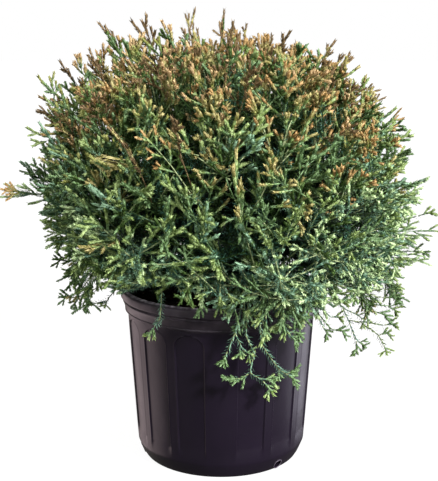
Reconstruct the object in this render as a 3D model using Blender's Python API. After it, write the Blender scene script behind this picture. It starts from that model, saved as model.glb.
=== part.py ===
"""A potted giant arborvitae: a dwarf, globe-shaped shrub in a black nursery pot.

Metres, +Z up. The origin is at the centre of the pot's flat underside.
The crown is a rounded dome about a point called its heart. Directions from the heart share it out
into cells, one for each mass of foliage, so every mass keeps to its own space.
"""

import math
import random

import bmesh
import bpy
from mathutils import Matrix, Vector

# Gap left between pieces that touch on the real plant
CLEAR = 0.0003

# Pot
POT_HEIGHT = 0.240
RIM_RADIUS = 0.1397
BODY_TOP_RADIUS = 0.1300
BODY_FOOT_RADIUS = 0.1180
FOOT_RADIUS = 0.1096
FOOT_BEVEL_HEIGHT = 0.020
RIM_BAND_HEIGHT = 0.033
WALL = 0.0030
FLOOR = 0.0035
PANELS_A_SIDE = 7
FIRST_PANEL_DEG = 19.0
PANEL_PITCH_DEG = 24.5
PANEL_HALF_DEG = 8.6
PANEL_EDGE_DEG = 1.0
PANEL_DEPTH = 0.0014
PANEL_LOW = 0.026
PANEL_HIGH = 0.200
PANEL_FOOT_SLOPE = 0.004
ARCH_RISE = 0.016
ARCH_STEPS_DEG = (0.0, 38.0, 66.0)
# Rim from the band up, over the lip and down inside: inset from the widest radius, depth below the top
RIM_PROFILE = (
    (0.0066, 0.0315),
    (0.0036, 0.0175),
    (0.0010, 0.0135),
    (0.0000, 0.0070),
    (0.0036, 0.0000),
    (0.0068, 0.0000),
)
INNER_LEDGE_DEPTH = 0.019
INNER_KNEE_HEIGHT = 0.022
DRAIN_RADIUS = 0.0068
DRAIN_HEIGHT = 0.009
DRAIN_TILT_DEG = -28.0
DRAIN_SIDES = 14
DRAIN_CUT = 0.030
DRAIN_BEARINGS_DEG = (-47.0, 73.0, 193.0)

# Potting mix
MIX_BELOW_RIM = 0.024
MIX_SIDES = 28
MIX_SIDE_GAP = 0.0022
MIX_LUMP = 0.0022
# Rings of its surface from the wall in: radius, height over the edge, share of the unevenness
MIX_SURFACE = ((0.090, 0.003, 1.0), (0.055, 0.003, 1.0), (0.028, 0.0, 0.0))

# Trunk and boughs
TRUNK_RADIUS = 0.0125
TRUNK_TIP_RADIUS = 0.0050
TRUNK_SIDES = 10
TRUNK_RINGS = 7
FLARE_RADIUS = 0.0095
FLARE_HEIGHT = 0.016
FLARE_LOBES = 5
FLARE_LOBE_DEPTH = 0.45
FLARE_SHARES = (0.0, 0.02, 0.05, 0.10)
TRUNK_START_SHARE = 0.16
TRUNK_SWAY = 0.006
BOUGH_SIDES = 6
BOUGH_RINGS = 4
BOUGH_ROOT_RADIUS = 0.0046
BOUGH_TIP_RADIUS = 0.0026
BOUGH_TURN = 0.55
BOUGH_SHARES = (0.08, 0.80)

# Crown
HEART_HEIGHT = 0.350
CROWN_RADIUS = 0.270
CROWN_RISE = 0.240
CROWN_DROP = 0.160
SQUARENESS = 2.5
LUMPINESS = 0.035
# Waves in the outline: strength, count round the dome, phase, change of phase with height
LUMP_WAVES = ((1.0, 3.0, 0.6, -1.6), (0.6, 5.0, 0.0, -1.0))
RIGHT_BIAS = 0.035
LOW_SINE = 0.6
MASS_COUNT = 24
LOWEST_MASS_SINE = -0.50
STEM_SHARE = 0.42
CORE_INNER_SHARE = 0.52
CORE_OUTER_SHARE = 0.78
CORE_SIDES = 9
CORE_TURN = 0.31
CORE_MARGIN_DEG = 1.2
CORE_WIDEST_DEG = 27.0
CORE_STEP_DEG = 0.5
CORE_EDGE_DROP = 0.05
CORE_SHOULDER = 0.55
STEM_SINK = 0.012
CORE_FLOOR = POT_HEIGHT + 0.022

# Leading shoots, each standing for a spray of needles
SHOOT_COUNT = 214
LOWEST_SHOOT_SINE = -0.60
SHOOT_SCATTER = 0.045
SHOOT_ROOT_SHARE = 0.68
SHOOT_TIP_SHARES = (0.91, 1.01)
ROOT_GATHER = 0.30
FORK_BACK = 0.054
FORK_STAGGER = 0.006
PRONG_LENGTH = 0.047
PRONG_WIDTH = 0.017
PRONG_SPREAD_DEG = 36.0
PRONG_LIFT = 0.010
BLADE_RADIUS = 0.0042
BLADE_THICKNESS = 0.0075
CELL_MARGIN = 0.0006
TIP_MARGIN = 0.006
TIP_SWING = 0.08
POT_MARGIN = 0.005
POT_TESTS = 8
ROLL_TRIES = 7
SEED = 41

# The sprigs that stand furthest out of the dome: bearing, elevation, distance from the heart
FAR_SPRIGS = (
    (180.0, 6.0, 0.298),
    (169.0, 34.0, 0.286),
    (176.0, 50.0, 0.286),
    (212.0, 56.0, 0.278),
    (150.0, 79.0, 0.274),
    (60.0, 66.0, 0.262),
    (8.0, 49.0, 0.276),
    (24.0, 28.0, 0.286),
    (2.0, 1.0, 0.292),
    (-8.0, -14.0, 0.288),
    (-100.0, 52.0, 0.268),
    (95.0, 20.0, 0.284),
)

# Shoots that trail over the rim: bearing, rim crossing radius, tip radius, tip height, sideways swing
TRAILS = (
    (-90.0, 0.156, 0.157, 0.146, 0.003),
    (-78.0, 0.159, 0.158, 0.128, 0.010),
    (-66.0, 0.160, 0.163, 0.134, 0.013),
    (-54.0, 0.162, 0.172, 0.168, -0.010),
    (-122.0, 0.155, 0.154, 0.196, -0.008),
    (-28.0, 0.180, 0.206, 0.136, 0.008),
    (-12.0, 0.190, 0.238, 0.132, 0.010),
    (2.0, 0.196, 0.246, 0.216, -0.006),
    (16.0, 0.185, 0.222, 0.168, -0.012),
    (176.0, 0.186, 0.214, 0.236, 0.010),
    (150.0, 0.176, 0.196, 0.226, -0.008),
    (88.0, 0.168, 0.178, 0.168, 0.010),
    (56.0, 0.170, 0.190, 0.184, -0.010),
    (-160.0, 0.172, 0.192, 0.232, 0.008),
)
TRAIL_CREST_SHARE = 1.06
TRAIL_CREST_HEIGHT = 0.284
TRAIL_FORKS = (0.40, 0.58, 0.76)
TRAIL_FORK_WIDTH = 0.085
TRAIL_PRONG_LENGTH = 0.036

GOLDEN_ANGLE = math.pi * (3.0 - math.sqrt(5.0))
HEART = Vector((0.0, 0.0, HEART_HEIGHT))
MIX_TOP = POT_HEIGHT - MIX_BELOW_RIM

MATERIALS = {
    "pot_plastic": ((0.018, 0.015, 0.020), 0.42),
    "potting_mix": ((0.035, 0.024, 0.016), 0.95),
    "bark": ((0.150, 0.085, 0.050), 0.85),
    "foliage": ((0.110, 0.190, 0.060), 0.65),
}


def clear_scene():
    for obj in list(bpy.data.objects):
        bpy.data.objects.remove(obj)


def make_materials():
    for name, (colour, roughness) in MATERIALS.items():
        material = bpy.data.materials.new(name)
        material.use_nodes = True
        shader = material.node_tree.nodes["Principled BSDF"]
        shader.inputs["Base Color"].default_value = (*colour, 1.0)
        shader.inputs["Roughness"].default_value = roughness
        shader.inputs["Metallic"].default_value = 0.0


def link(name, bm, material, smooth_angle=None):
    """Turns a bmesh into a named object in the scene."""
    bmesh.ops.recalc_face_normals(bm, faces=bm.faces)
    mesh = bpy.data.meshes.new(name)
    bm.to_mesh(mesh)
    bm.free()
    if smooth_angle:
        mesh.shade_smooth()
        mesh.set_sharp_from_angle(angle=math.radians(smooth_angle))
    obj = bpy.data.objects.new(name, mesh)
    bpy.context.scene.collection.objects.link(obj)
    mesh.materials.append(bpy.data.materials[material])
    return obj


def skin_rings(bm, rings, close_start=True, close_end=True):
    """Joins rings of points into a tube. Each ring has the same number of points."""
    loops = [[bm.verts.new(point) for point in ring] for ring in rings]
    for low, high in zip(loops, loops[1:]):
        count = len(low)
        for i in range(count):
            j = (i + 1) % count
            bm.faces.new((low[i], low[j], high[j], high[i]))
    if close_start:
        bm.faces.new(tuple(reversed(loops[0])))
    if close_end:
        bm.faces.new(tuple(loops[-1]))
    return loops


def lerp(a, b, t):
    return a + (b - a) * t


def polar(bearing, elevation=0.0):
    """The unit vector at a bearing from +X and an elevation, in radians."""
    flat = math.cos(elevation)
    return Vector((flat * math.cos(bearing), flat * math.sin(bearing), math.sin(elevation)))


def sideways_of(direction):
    """A unit vector square to a direction, level where it can be."""
    level = Vector((-direction.y, direction.x, 0.0))
    if level.length < 0.05:
        level = Vector((1.0, 0.0, 0.0)).cross(direction)
    return level.normalized()


# Pot


def body_radius(z):
    """Radius of the plain tapering body between its foot and the rim band."""
    share = (z - FOOT_BEVEL_HEIGHT) / (POT_HEIGHT - RIM_BAND_HEIGHT - FOOT_BEVEL_HEIGHT)
    return lerp(BODY_FOOT_RADIUS, BODY_TOP_RADIUS, share)


def panel_bearings():
    """Bearings of the pressed panels, mirrored about the front and the back."""
    front = math.radians(-90.0)
    found = []
    for side in (-1.0, 1.0):
        for k in range(PANELS_A_SIDE):
            offset = math.radians(FIRST_PANEL_DEG + k * PANEL_PITCH_DEG)
            found.append(front + side * offset)
    return sorted(found)


def panel_rows():
    """Heights of the body's rings, each with the panels' share of full width and of full depth."""
    rows = [(PANEL_LOW, 1.0, 0.0), (PANEL_LOW + PANEL_FOOT_SLOPE, 1.0, 1.0)]
    for angle_deg in ARCH_STEPS_DEG:
        angle = math.radians(angle_deg)
        rows.append((PANEL_HIGH - ARCH_RISE * (1.0 - math.sin(angle)), math.cos(angle), 1.0))
    width_left = math.cos(math.radians(ARCH_STEPS_DEG[-1])) / 2.0
    return [*rows, (PANEL_HIGH, width_left, 0.0)]


def panelled_ring(z, width_share, depth_share):
    """One ring of the body: five points across each panel and one on each plain strip."""
    ring = []
    outer = body_radius(z)
    half = math.radians(PANEL_HALF_DEG) * width_share
    edge = math.radians(PANEL_EDGE_DEG)
    columns = [(-half - edge, 0.0), (-half, 1.0), (0.0, 1.0), (half, 1.0), (half + edge, 0.0)]
    for k, bearing in enumerate(panel_bearings()):
        if k in (0, PANELS_A_SIDE):
            strip = math.radians(-270.0 if k == 0 else -90.0)
            ring.append(polar(strip) * outer + Vector((0.0, 0.0, z)))
        for offset, depth in columns:
            radius = outer - PANEL_DEPTH * depth * depth_share
            ring.append(polar(bearing + offset) * radius + Vector((0.0, 0.0, z)))
    return ring


def plain_ring(radius, z):
    """A round ring with as many points as a panelled one, at the same bearings."""
    lift = Vector((0.0, 0.0, z))
    ring = panelled_ring(0.0, 1.0, 0.0)
    return [point.normalized() * radius + lift for point in ring]


def rim_rings():
    """Rings of the rim from the body up: band, groove and rolled lip, then over and down inside."""
    band_foot = POT_HEIGHT - RIM_BAND_HEIGHT
    rings = [plain_ring(body_radius(band_foot), band_foot)]
    rings += [plain_ring(RIM_RADIUS - inset, POT_HEIGHT - depth) for inset, depth in RIM_PROFILE]
    rings.append(plain_ring(body_radius(band_foot) - WALL, POT_HEIGHT - INNER_LEDGE_DEPTH))
    return rings


def make_pot():
    bm = bmesh.new()
    rings = [plain_ring(FOOT_RADIUS, 0.0), plain_ring(BODY_FOOT_RADIUS, FOOT_BEVEL_HEIGHT)]
    rings += [panelled_ring(*row) for row in panel_rows()]
    rings += rim_rings()
    rings.append(plain_ring(body_radius(INNER_KNEE_HEIGHT) - WALL, INNER_KNEE_HEIGHT))
    rings.append(plain_ring(FOOT_RADIUS - WALL, FLOOR))
    skin_rings(bm, rings)
    pot = link("pot", bm, "pot_plastic", smooth_angle=28.0)
    cutters = bpy.data.collections.new("drain_hole_cutters")
    bpy.context.scene.collection.children.link(cutters)
    for bearing_deg in DRAIN_BEARINGS_DEG:
        cutters.objects.link(make_drain_cutter(math.radians(bearing_deg)))
    holes = pot.modifiers.new("drain_holes", "BOOLEAN")
    holes.operation = "DIFFERENCE"
    holes.operand_type = "COLLECTION"
    holes.collection = cutters
    return pot


def make_drain_cutter(bearing):
    """A round cutter aimed through the corner between the pot's side and its underside."""
    outward = polar(bearing, math.radians(DRAIN_TILT_DEG))
    middle = polar(bearing) * FOOT_RADIUS + Vector((0.0, 0.0, DRAIN_HEIGHT))
    bm = bmesh.new()
    turn = outward.to_track_quat("Z", "Y").to_matrix().to_4x4()
    bmesh.ops.create_cone(
        bm,
        cap_ends=True,
        segments=DRAIN_SIDES,
        radius1=DRAIN_RADIUS,
        radius2=DRAIN_RADIUS,
        depth=DRAIN_CUT,
        matrix=Matrix.Translation(middle) @ turn,
    )
    mesh = bpy.data.meshes.new("drain_cutter")
    bm.to_mesh(mesh)
    bm.free()
    cutter = bpy.data.objects.new("drain_cutter", mesh)
    cutter.hide_render = True
    cutter.display_type = "WIRE"
    return cutter


# Potting mix


def mix_ring(radius, z, lump):
    """A ring of the potting mix, its surface a little uneven where lump is above zero."""
    ring = []
    for i in range(MIX_SIDES):
        bearing = math.tau * i / MIX_SIDES
        wave = math.sin(3.0 * bearing + 90.0 * radius) * math.cos(2.0 * bearing)
        ring.append(polar(bearing) * radius + Vector((0.0, 0.0, z + lump * wave)))
    return ring


def make_potting_mix():
    """The pot's whole filling, just clear of its floor and walls."""
    gap = WALL + MIX_SIDE_GAP
    rings = [
        mix_ring(FOOT_RADIUS - gap, FLOOR + CLEAR, 0.0),
        mix_ring(body_radius(INNER_KNEE_HEIGHT) - gap, INNER_KNEE_HEIGHT, 0.0),
        mix_ring(body_radius(MIX_TOP) - gap, MIX_TOP, 0.0),
    ]
    rings += [mix_ring(radius, MIX_TOP + rise, MIX_LUMP * share) for radius, rise, share in MIX_SURFACE]
    bm = bmesh.new()
    skin_rings(bm, rings)
    return link("potting_mix", bm, "potting_mix")


# Shape of the crown


def crown_reach(direction):
    """Distance from the heart to the outline of the crown in a direction."""
    flat = math.hypot(direction.x, direction.y) / CROWN_RADIUS
    tall = abs(direction.z) / (CROWN_RISE if direction.z > 0.0 else CROWN_DROP)
    reach = (flat**SQUARENESS + tall**SQUARENESS) ** (-1.0 / SQUARENESS)
    bearing = math.atan2(direction.y, direction.x)
    waves = sum(a * math.sin(n * bearing + phase + drift * direction.z) for a, n, phase, drift in LUMP_WAVES)
    low_right = direction.x * (LOW_SINE - direction.z)
    return reach * (1.0 + LUMPINESS * waves + RIGHT_BIAS * low_right)


def spread(index, count, lowest_sine):
    """One of count directions shared out evenly above a lowest elevation."""
    height = lerp(lowest_sine, 1.0, (index + 0.5) / count)
    return polar(GOLDEN_ANGLE * index, math.asin(height))


MASS_DIRECTIONS = [spread(k, MASS_COUNT, LOWEST_MASS_SINE) for k in range(MASS_COUNT)]


def owner(direction):
    """The mass whose cell holds a direction from the heart."""
    return max(range(MASS_COUNT), key=lambda k: direction.dot(MASS_DIRECTIONS[k]))


def in_cell(point, mass, margin=CELL_MARGIN):
    """True where a point lies in a mass's cell, clear of the planes it shares with its neighbours."""
    away = point - HEART
    here = MASS_DIRECTIONS[mass]
    for other, there in enumerate(MASS_DIRECTIONS):
        if other != mass and away.dot((here - there).normalized()) < margin:
            return False
    return True


def clear_of_pot(start, end):
    """True where a straight stretch of foliage keeps outside the pot's rim or over its mouth."""
    for k in range(POT_TESTS + 1):
        point = start.lerp(end, k / POT_TESTS)
        outside = math.hypot(point.x, point.y) > RIM_RADIUS + POT_MARGIN
        if not outside and point.z < POT_HEIGHT + POT_MARGIN:
            return False
    return True


# Trunk and boughs


def trunk_end():
    """The trunk's tip, below the mass at the top of the crown."""
    top = MASS_DIRECTIONS[-1]
    return HEART + top * (crown_reach(top) * STEM_SHARE - CLEAR)


def trunk_point(share):
    """A point on the trunk's slightly swaying centreline."""
    foot = Vector((0.0, 0.0, MIX_TOP + CLEAR))
    tip = trunk_end()
    bend = foot.lerp(Vector((0.0, 0.0, tip.z)), share).lerp(foot.lerp(tip, share), share)
    sway = math.sin(math.pi * share) * math.sin(math.tau * share) * TRUNK_SWAY
    return bend + Vector((sway, 0.6 * sway, 0.0))


def trunk_ring(share, grow=0.0):
    """A ring of the trunk, level at the foot and square to its course higher up."""
    centre = trunk_point(share)
    ahead = trunk_point(min(1.0, share + 0.02)) - trunk_point(max(0.0, share - 0.02))
    axis = Vector((0.0, 0.0, 1.0)).lerp(ahead.normalized(), min(1.0, 3.0 * share)).normalized()
    if share > 0.999:
        axis = MASS_DIRECTIONS[-1].copy()
    across = sideways_of(axis) if share > 0.999 else Vector((1.0, 0.0, 0.0))
    across = (across - axis * across.dot(axis)).normalized()
    other = axis.cross(across)
    height = (trunk_point(share) - trunk_point(0.0)).z
    flare = FLARE_RADIUS * math.exp(-height / FLARE_HEIGHT)
    ring = []
    for i in range(TRUNK_SIDES):
        angle = math.tau * i / TRUNK_SIDES
        lobe = 1.0 + FLARE_LOBE_DEPTH * math.cos(FLARE_LOBES * angle)
        radius = lerp(TRUNK_RADIUS, TRUNK_TIP_RADIUS, share) + flare * lobe + grow
        ring.append(centre + (across * math.cos(angle) + other * math.sin(angle)) * radius)
    return ring


def trunk_shares():
    """Places of the trunk's rings, closer together in the root flare."""
    return [*FLARE_SHARES, *(lerp(TRUNK_START_SHARE, 1.0, i / TRUNK_RINGS) for i in range(TRUNK_RINGS + 1))]


def make_trunk():
    bm = bmesh.new()
    skin_rings(bm, [trunk_ring(share) for share in trunk_shares()])
    return link("trunk", bm, "bark", smooth_angle=40.0)


def make_trunk_cutter():
    """The trunk a hair thicker, to trim the boughs' roots to its surface."""
    bm = bmesh.new()
    skin_rings(bm, [trunk_ring(share, grow=1.25 * CLEAR) for share in trunk_shares()])
    cutter = link("trunk_cutter", bm, "bark")
    cutter.hide_render = True
    cutter.display_type = "WIRE"
    return cutter


def stem_foot(mass):
    """Where a mass's stem begins, facing the tip of its bough."""
    direction = MASS_DIRECTIONS[mass]
    return HEART + direction * crown_reach(direction) * STEM_SHARE


def bough_point(mass, share):
    """A point on a bough's centreline: out of the trunk, then turning to face its mass."""
    root_share = lerp(*BOUGH_SHARES, mass / (MASS_COUNT - 1.0))
    root = trunk_point(root_share)
    tip = stem_foot(mass) - MASS_DIRECTIONS[mass] * CLEAR
    knee = tip - MASS_DIRECTIONS[mass] * (tip - root).length * BOUGH_TURN
    return root.lerp(knee, share).lerp(knee.lerp(tip, share), share)


def make_bough(mass, trunk_cutter):
    rings = []
    for i in range(BOUGH_RINGS + 1):
        share = i / BOUGH_RINGS
        centre = bough_point(mass, share)
        ahead = bough_point(mass, min(1.0, share + 0.02)) - bough_point(mass, max(0.0, share - 0.02))
        axis = MASS_DIRECTIONS[mass] if i == BOUGH_RINGS else ahead.normalized()
        rings.append(round_ring(centre, axis, bough_radius(share), BOUGH_SIDES))
    bm = bmesh.new()
    skin_rings(bm, rings)
    bough = link(f"bough_{mass + 1:02d}", bm, "bark", smooth_angle=50.0)
    trim = bough.modifiers.new("trunk_seat", "BOOLEAN")
    trim.operation = "DIFFERENCE"
    trim.object = trunk_cutter
    return bough


def bough_radius(share):
    return lerp(BOUGH_ROOT_RADIUS, BOUGH_TIP_RADIUS, share)


def round_ring(centre, axis, radius, sides):
    across = sideways_of(axis)
    other = axis.cross(across)
    angles = [math.tau * i / sides for i in range(sides)]
    return [centre + (across * math.cos(a) + other * math.sin(a)) * radius for a in angles]


# Foliage


def cell_edge(mass, turn):
    """The direction where a mass's cell ends, going from its middle at an angle round it."""
    middle = MASS_DIRECTIONS[mass]
    side = sideways_of(middle)
    tangent = side * math.cos(turn) + middle.cross(side) * math.sin(turn)
    margin = math.radians(CORE_MARGIN_DEG)
    widest = math.radians(CORE_WIDEST_DEG)
    step = math.radians(CORE_STEP_DEG)
    angle = step
    while angle < widest:
        direction = middle * math.cos(angle + margin) + tangent * math.sin(angle + margin)
        if owner(direction) != mass:
            break
        angle += step
    angle -= step
    return middle * math.cos(angle) + tangent * math.sin(angle)


def core_point(direction, share):
    """A point of a core, kept above the pot's rim by shortening its distance from the heart."""
    distance = crown_reach(direction) * share
    if direction.z < 0.0:
        distance = min(distance, (HEART_HEIGHT - CORE_FLOOR) / -direction.z)
    return HEART + direction * distance


def make_core(mass):
    """The dense inside of a mass: a block of the dome that fills its cell."""
    middle = MASS_DIRECTIONS[mass]
    edges = [cell_edge(mass, math.tau * (i + CORE_TURN) / CORE_SIDES) for i in range(CORE_SIDES)]
    shoulders = [middle.lerp(edge, CORE_SHOULDER).normalized() for edge in edges[::2]]
    points = [core_point(edge, CORE_OUTER_SHARE - CORE_EDGE_DROP) for edge in edges]
    points += [core_point(shoulder, CORE_OUTER_SHARE) for shoulder in shoulders]
    points += [core_point(edge, CORE_INNER_SHARE) for edge in edges]
    bm = bmesh.new()
    verts = [bm.verts.new(point) for point in points]
    hull = bmesh.ops.convex_hull(bm, input=verts)
    loose = [v for v in hull["geom_interior"] if isinstance(v, bmesh.types.BMVert)]
    bmesh.ops.delete(bm, geom=loose, context="VERTS")
    return bm


def make_stem(mass):
    """The short stem that carries a mass, from its bough's tip into its core."""
    middle = MASS_DIRECTIONS[mass]
    foot = stem_foot(mass)
    depth = crown_reach(middle) * (CORE_INNER_SHARE - STEM_SHARE) + STEM_SINK
    bm = bmesh.new()
    rings = [
        round_ring(foot, middle, BOUGH_TIP_RADIUS, BOUGH_SIDES),
        round_ring(foot + middle * depth, middle, BOUGH_TIP_RADIUS * 0.9, BOUGH_SIDES),
    ]
    skin_rings(bm, rings)
    return bm


class Spray:
    """A forked spray of foliage: a ridged, tapering blade along a line, with prongs at its forks.

    line gives the point at each share of its length, and across is the way its prongs spread.
    Each fork is the share where a pair of prongs begins. A prong that leaves its mass's cell is skipped.
    """

    def __init__(self, mass, line, forks, across, fork_width, prong_length, lift):
        shares = [0.0, *(share for fork in forks for share in (fork, fork + fork_width)), 1.0]
        self.centres = [line(share) for share in shares]
        self.up = (self.centres[-1] - self.centres[0]).normalized().cross(across)
        self.edges = [self.edge(across * sign, sign) for sign in (1.0, -1.0)]
        self.prongs = []
        for edge, sign in zip(self.edges, (1.0, -1.0)):
            out = across * sign
            tips = [self.prong(i, foot, out, prong_length, lift * sign) for i, foot in enumerate(edge)]
            self.prongs.append([self.kept(tip, foot, mass) for tip, foot in zip(tips, edge)])
        self.fits = all(self.inside(line, mass) for line in (self.centres, *self.edges))
        self.prong_count = sum(tip is not None for side in self.prongs for tip in side)

    @staticmethod
    def inside(line, mass):
        clear = all(clear_of_pot(start, end) for start, end in zip(line, line[1:]))
        return clear and all(in_cell(point, mass) for point in line)

    def kept(self, tip, foot, mass):
        return tip if tip is not None and self.inside([foot, tip], mass) else None

    def ahead(self, i):
        return (self.centres[i + 1] - self.centres[i]).normalized()

    def edge(self, out, sign):
        """The blade's rim on one side, its forks a little ahead of the other side's."""
        points = [self.centres[0] + out * BLADE_RADIUS]
        for i in range(1, len(self.centres) - 1):
            points.append(self.centres[i] + self.ahead(i) * FORK_STAGGER * sign + out * BLADE_RADIUS)
        return points

    def prong(self, i, foot, out, length, lift):
        """The tip of the prong that leaves the rim after its i-th point, where that is a fork."""
        if i % 2 == 0:
            return None
        angle = math.radians(PRONG_SPREAD_DEG)
        heading = self.ahead(i) * math.cos(angle) + out * math.sin(angle)
        return foot + heading * length + self.up * lift

    def build(self):
        bm = bmesh.new()
        tip = bm.verts.new(self.centres[-1])
        rims = [[bm.verts.new(point) for point in edge] for edge in self.edges]
        prongs = [[None if end is None else bm.verts.new(end) for end in side] for side in self.prongs]
        crests = []
        for raised in (BLADE_THICKNESS / 2.0, -BLADE_THICKNESS / 2.0):
            crest = [bm.verts.new(centre + self.up * raised) for centre in self.centres[:-1]]
            crests.append(crest)
            for rim, ends in zip(rims, prongs):
                for i, end in enumerate(ends):
                    last = i == len(ends) - 1
                    corners = [crest[i], rim[i], end, tip if last else rim[i + 1]]
                    fan = [corner for corner in corners if corner is not None]
                    if not last:
                        fan.append(crest[i + 1])
                    for second, third in zip(fan[1:], fan[2:]):
                        bm.faces.new((fan[0], second, third))
        bm.faces.new((rims[0][0], crests[0][0], rims[1][0], crests[1][0]))
        return bm


def root_point(mass, direction):
    """Where a shoot is rooted in its mass's core, drawn in towards the core's middle."""
    middle = core_point(MASS_DIRECTIONS[mass], SHOOT_ROOT_SHARE)
    return core_point(direction, SHOOT_ROOT_SHARE).lerp(middle, ROOT_GATHER)


def shoot_draws(index):
    """Direction, tip share, roll and twist of one leading shoot, from its own seeded draws."""
    draws = random.Random(SEED * 1000 + index)
    nudge = Vector((draws.uniform(-1.0, 1.0), draws.uniform(-1.0, 1.0), draws.uniform(-1.0, 1.0)))
    direction = (spread(index, SHOOT_COUNT, LOWEST_SHOOT_SINE) + nudge * SHOOT_SCATTER).normalized()
    return direction, draws.uniform(*SHOOT_TIP_SHARES), draws.uniform(0.0, math.pi), draws.uniform(-1.0, 1.0)


def shoot_tip(mass, direction, distance):
    """The tip of a leading shoot, swung in towards its mass's middle as far as its cell asks."""
    middle = MASS_DIRECTIONS[mass]
    tip = HEART + direction * distance
    while not in_cell(tip, mass, margin=TIP_MARGIN):
        direction = direction.lerp(middle, TIP_SWING).normalized()
        tip = HEART + direction * distance
    return tip


def grow_shoot(mass, direction, distance, roll, twist):
    """A leading shoot's spray, turned about its own line until the most prongs fit in the cell."""
    root = root_point(mass, direction)
    tip = shoot_tip(mass, direction, distance)
    length = (tip - root).length
    along = (tip - root) / length
    side = sideways_of(along)
    best = None
    for attempt in range(ROLL_TRIES):
        turned = roll + math.pi * attempt / ROLL_TRIES
        across = side * math.cos(turned) + along.cross(side) * math.sin(turned)
        spray = Spray(
            mass,
            lambda share: root.lerp(tip, share),
            [1.0 - FORK_BACK / length],
            across,
            PRONG_WIDTH / length,
            PRONG_LENGTH,
            PRONG_LIFT * twist,
        )
        if spray.fits and (best is None or spray.prong_count > best.prong_count):
            best = spray
    return best


def trail_point(trail, share):
    """A point on a trailing shoot: out of the crown, over the rim, and down under its own weight."""
    bearing_deg, crossing, tip_radius, tip_height, swing = trail
    outward = polar(math.radians(bearing_deg))
    crest = outward * crossing * TRAIL_CREST_SHARE + Vector((0.0, 0.0, TRAIL_CREST_HEIGHT))
    toward_crest = (crest - HEART).normalized()
    root = root_point(owner(toward_crest), toward_crest)
    tip = outward * tip_radius + sideways_of(outward) * swing + Vector((0.0, 0.0, tip_height))
    return root.lerp(crest, share).lerp(crest.lerp(tip, share), share)


def grow_trail(mass, trail):
    """The spray of a trailing shoot, with several forks along its drooping line."""
    across = sideways_of(polar(math.radians(trail[0])))
    spray = Spray(
        mass,
        lambda share: trail_point(trail, share),
        TRAIL_FORKS,
        across,
        TRAIL_FORK_WIDTH,
        TRAIL_PRONG_LENGTH,
        0.0,
    )
    return spray if spray.fits else None


def mass_shoots(mass):
    """The sprays that stand out of one mass's core."""
    made = []
    for index in range(SHOOT_COUNT):
        direction, share, roll, twist = shoot_draws(index)
        if owner(direction) == mass:
            made.append(grow_shoot(mass, direction, crown_reach(direction) * share, roll, twist))
    for k, (bearing_deg, elevation_deg, distance) in enumerate(FAR_SPRIGS):
        direction = polar(math.radians(bearing_deg), math.radians(elevation_deg))
        if owner(direction) == mass:
            made.append(grow_shoot(mass, direction, distance, 0.7 * k, 0.5))
    for trail in TRAILS:
        if owner((trail_point(trail, 0.6) - HEART).normalized()) == mass:
            made.append(grow_trail(mass, trail))
    return [spray.build() for spray in made if spray is not None]


def linked_faces(start):
    """All the faces that can be reached from one across shared edges."""
    found = {start}
    waiting = [start]
    while waiting:
        for edge in waiting.pop().edges:
            for face in edge.link_faces:
                if face not in found:
                    found.add(face)
                    waiting.append(face)
    return found


def keep_main_skin(mesh):
    """Leaves a fused mass its outer skin only: sealed hollows are filled and loose scraps dropped."""
    bm = bmesh.new()
    bm.from_mesh(mesh)
    waiting = set(bm.faces)
    skins = []
    while waiting:
        skin = linked_faces(next(iter(waiting)))
        waiting -= skin
        skins.append(skin)
    skins.sort(key=len)
    extra = [face for skin in skins[:-1] for face in skin]
    bmesh.ops.delete(bm, geom=extra, context="FACES")
    bm.to_mesh(mesh)
    bm.free()


def make_mass(mass):
    """One mass of foliage: its core, stem and sprays joined into one closed solid."""
    pieces = bpy.data.collections.new("mass_pieces")
    bpy.context.scene.collection.children.link(pieces)
    for bm in [make_stem(mass), *mass_shoots(mass)]:
        piece = link("piece", bm, "foliage")
        bpy.context.scene.collection.objects.unlink(piece)
        pieces.objects.link(piece)
    body = link(f"foliage_{mass + 1:02d}", make_core(mass), "foliage")
    union = body.modifiers.new("fuse", "BOOLEAN")
    union.operation = "UNION"
    union.operand_type = "COLLECTION"
    union.collection = pieces
    union.solver = "MANIFOLD"
    joined = bpy.data.meshes.new_from_object(body.evaluated_get(bpy.context.evaluated_depsgraph_get()))
    keep_main_skin(joined)
    joined.name = body.name
    body.modifiers.clear()
    body.data = joined
    for piece in list(pieces.objects):
        bpy.data.objects.remove(piece)
    bpy.data.collections.remove(pieces)
    return body


def main():
    clear_scene()
    make_materials()
    make_pot()
    make_potting_mix()
    make_trunk()
    trunk_cutter = make_trunk_cutter()
    for mass in range(MASS_COUNT - 1):
        make_bough(mass, trunk_cutter)
    for mass in range(MASS_COUNT):
        make_mass(mass)


main()
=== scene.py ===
"""The looks of a potted dwarf arborvitae: a round black nursery pot under a dome of cord-like foliage.

The crown grows by the same rule as the solids do: directions from a point called the heart share it out
into masses, a bough leads to each mass, and leading shoots run from there to the crown's outline.
Here each leading shoot carries finer sprays, each with its own stem, needles and blunt forked cords.
"""

import math
import random
from collections import namedtuple

import bmesh
import bpy
import numpy as np
from mathutils import Matrix, Vector, noise


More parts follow.
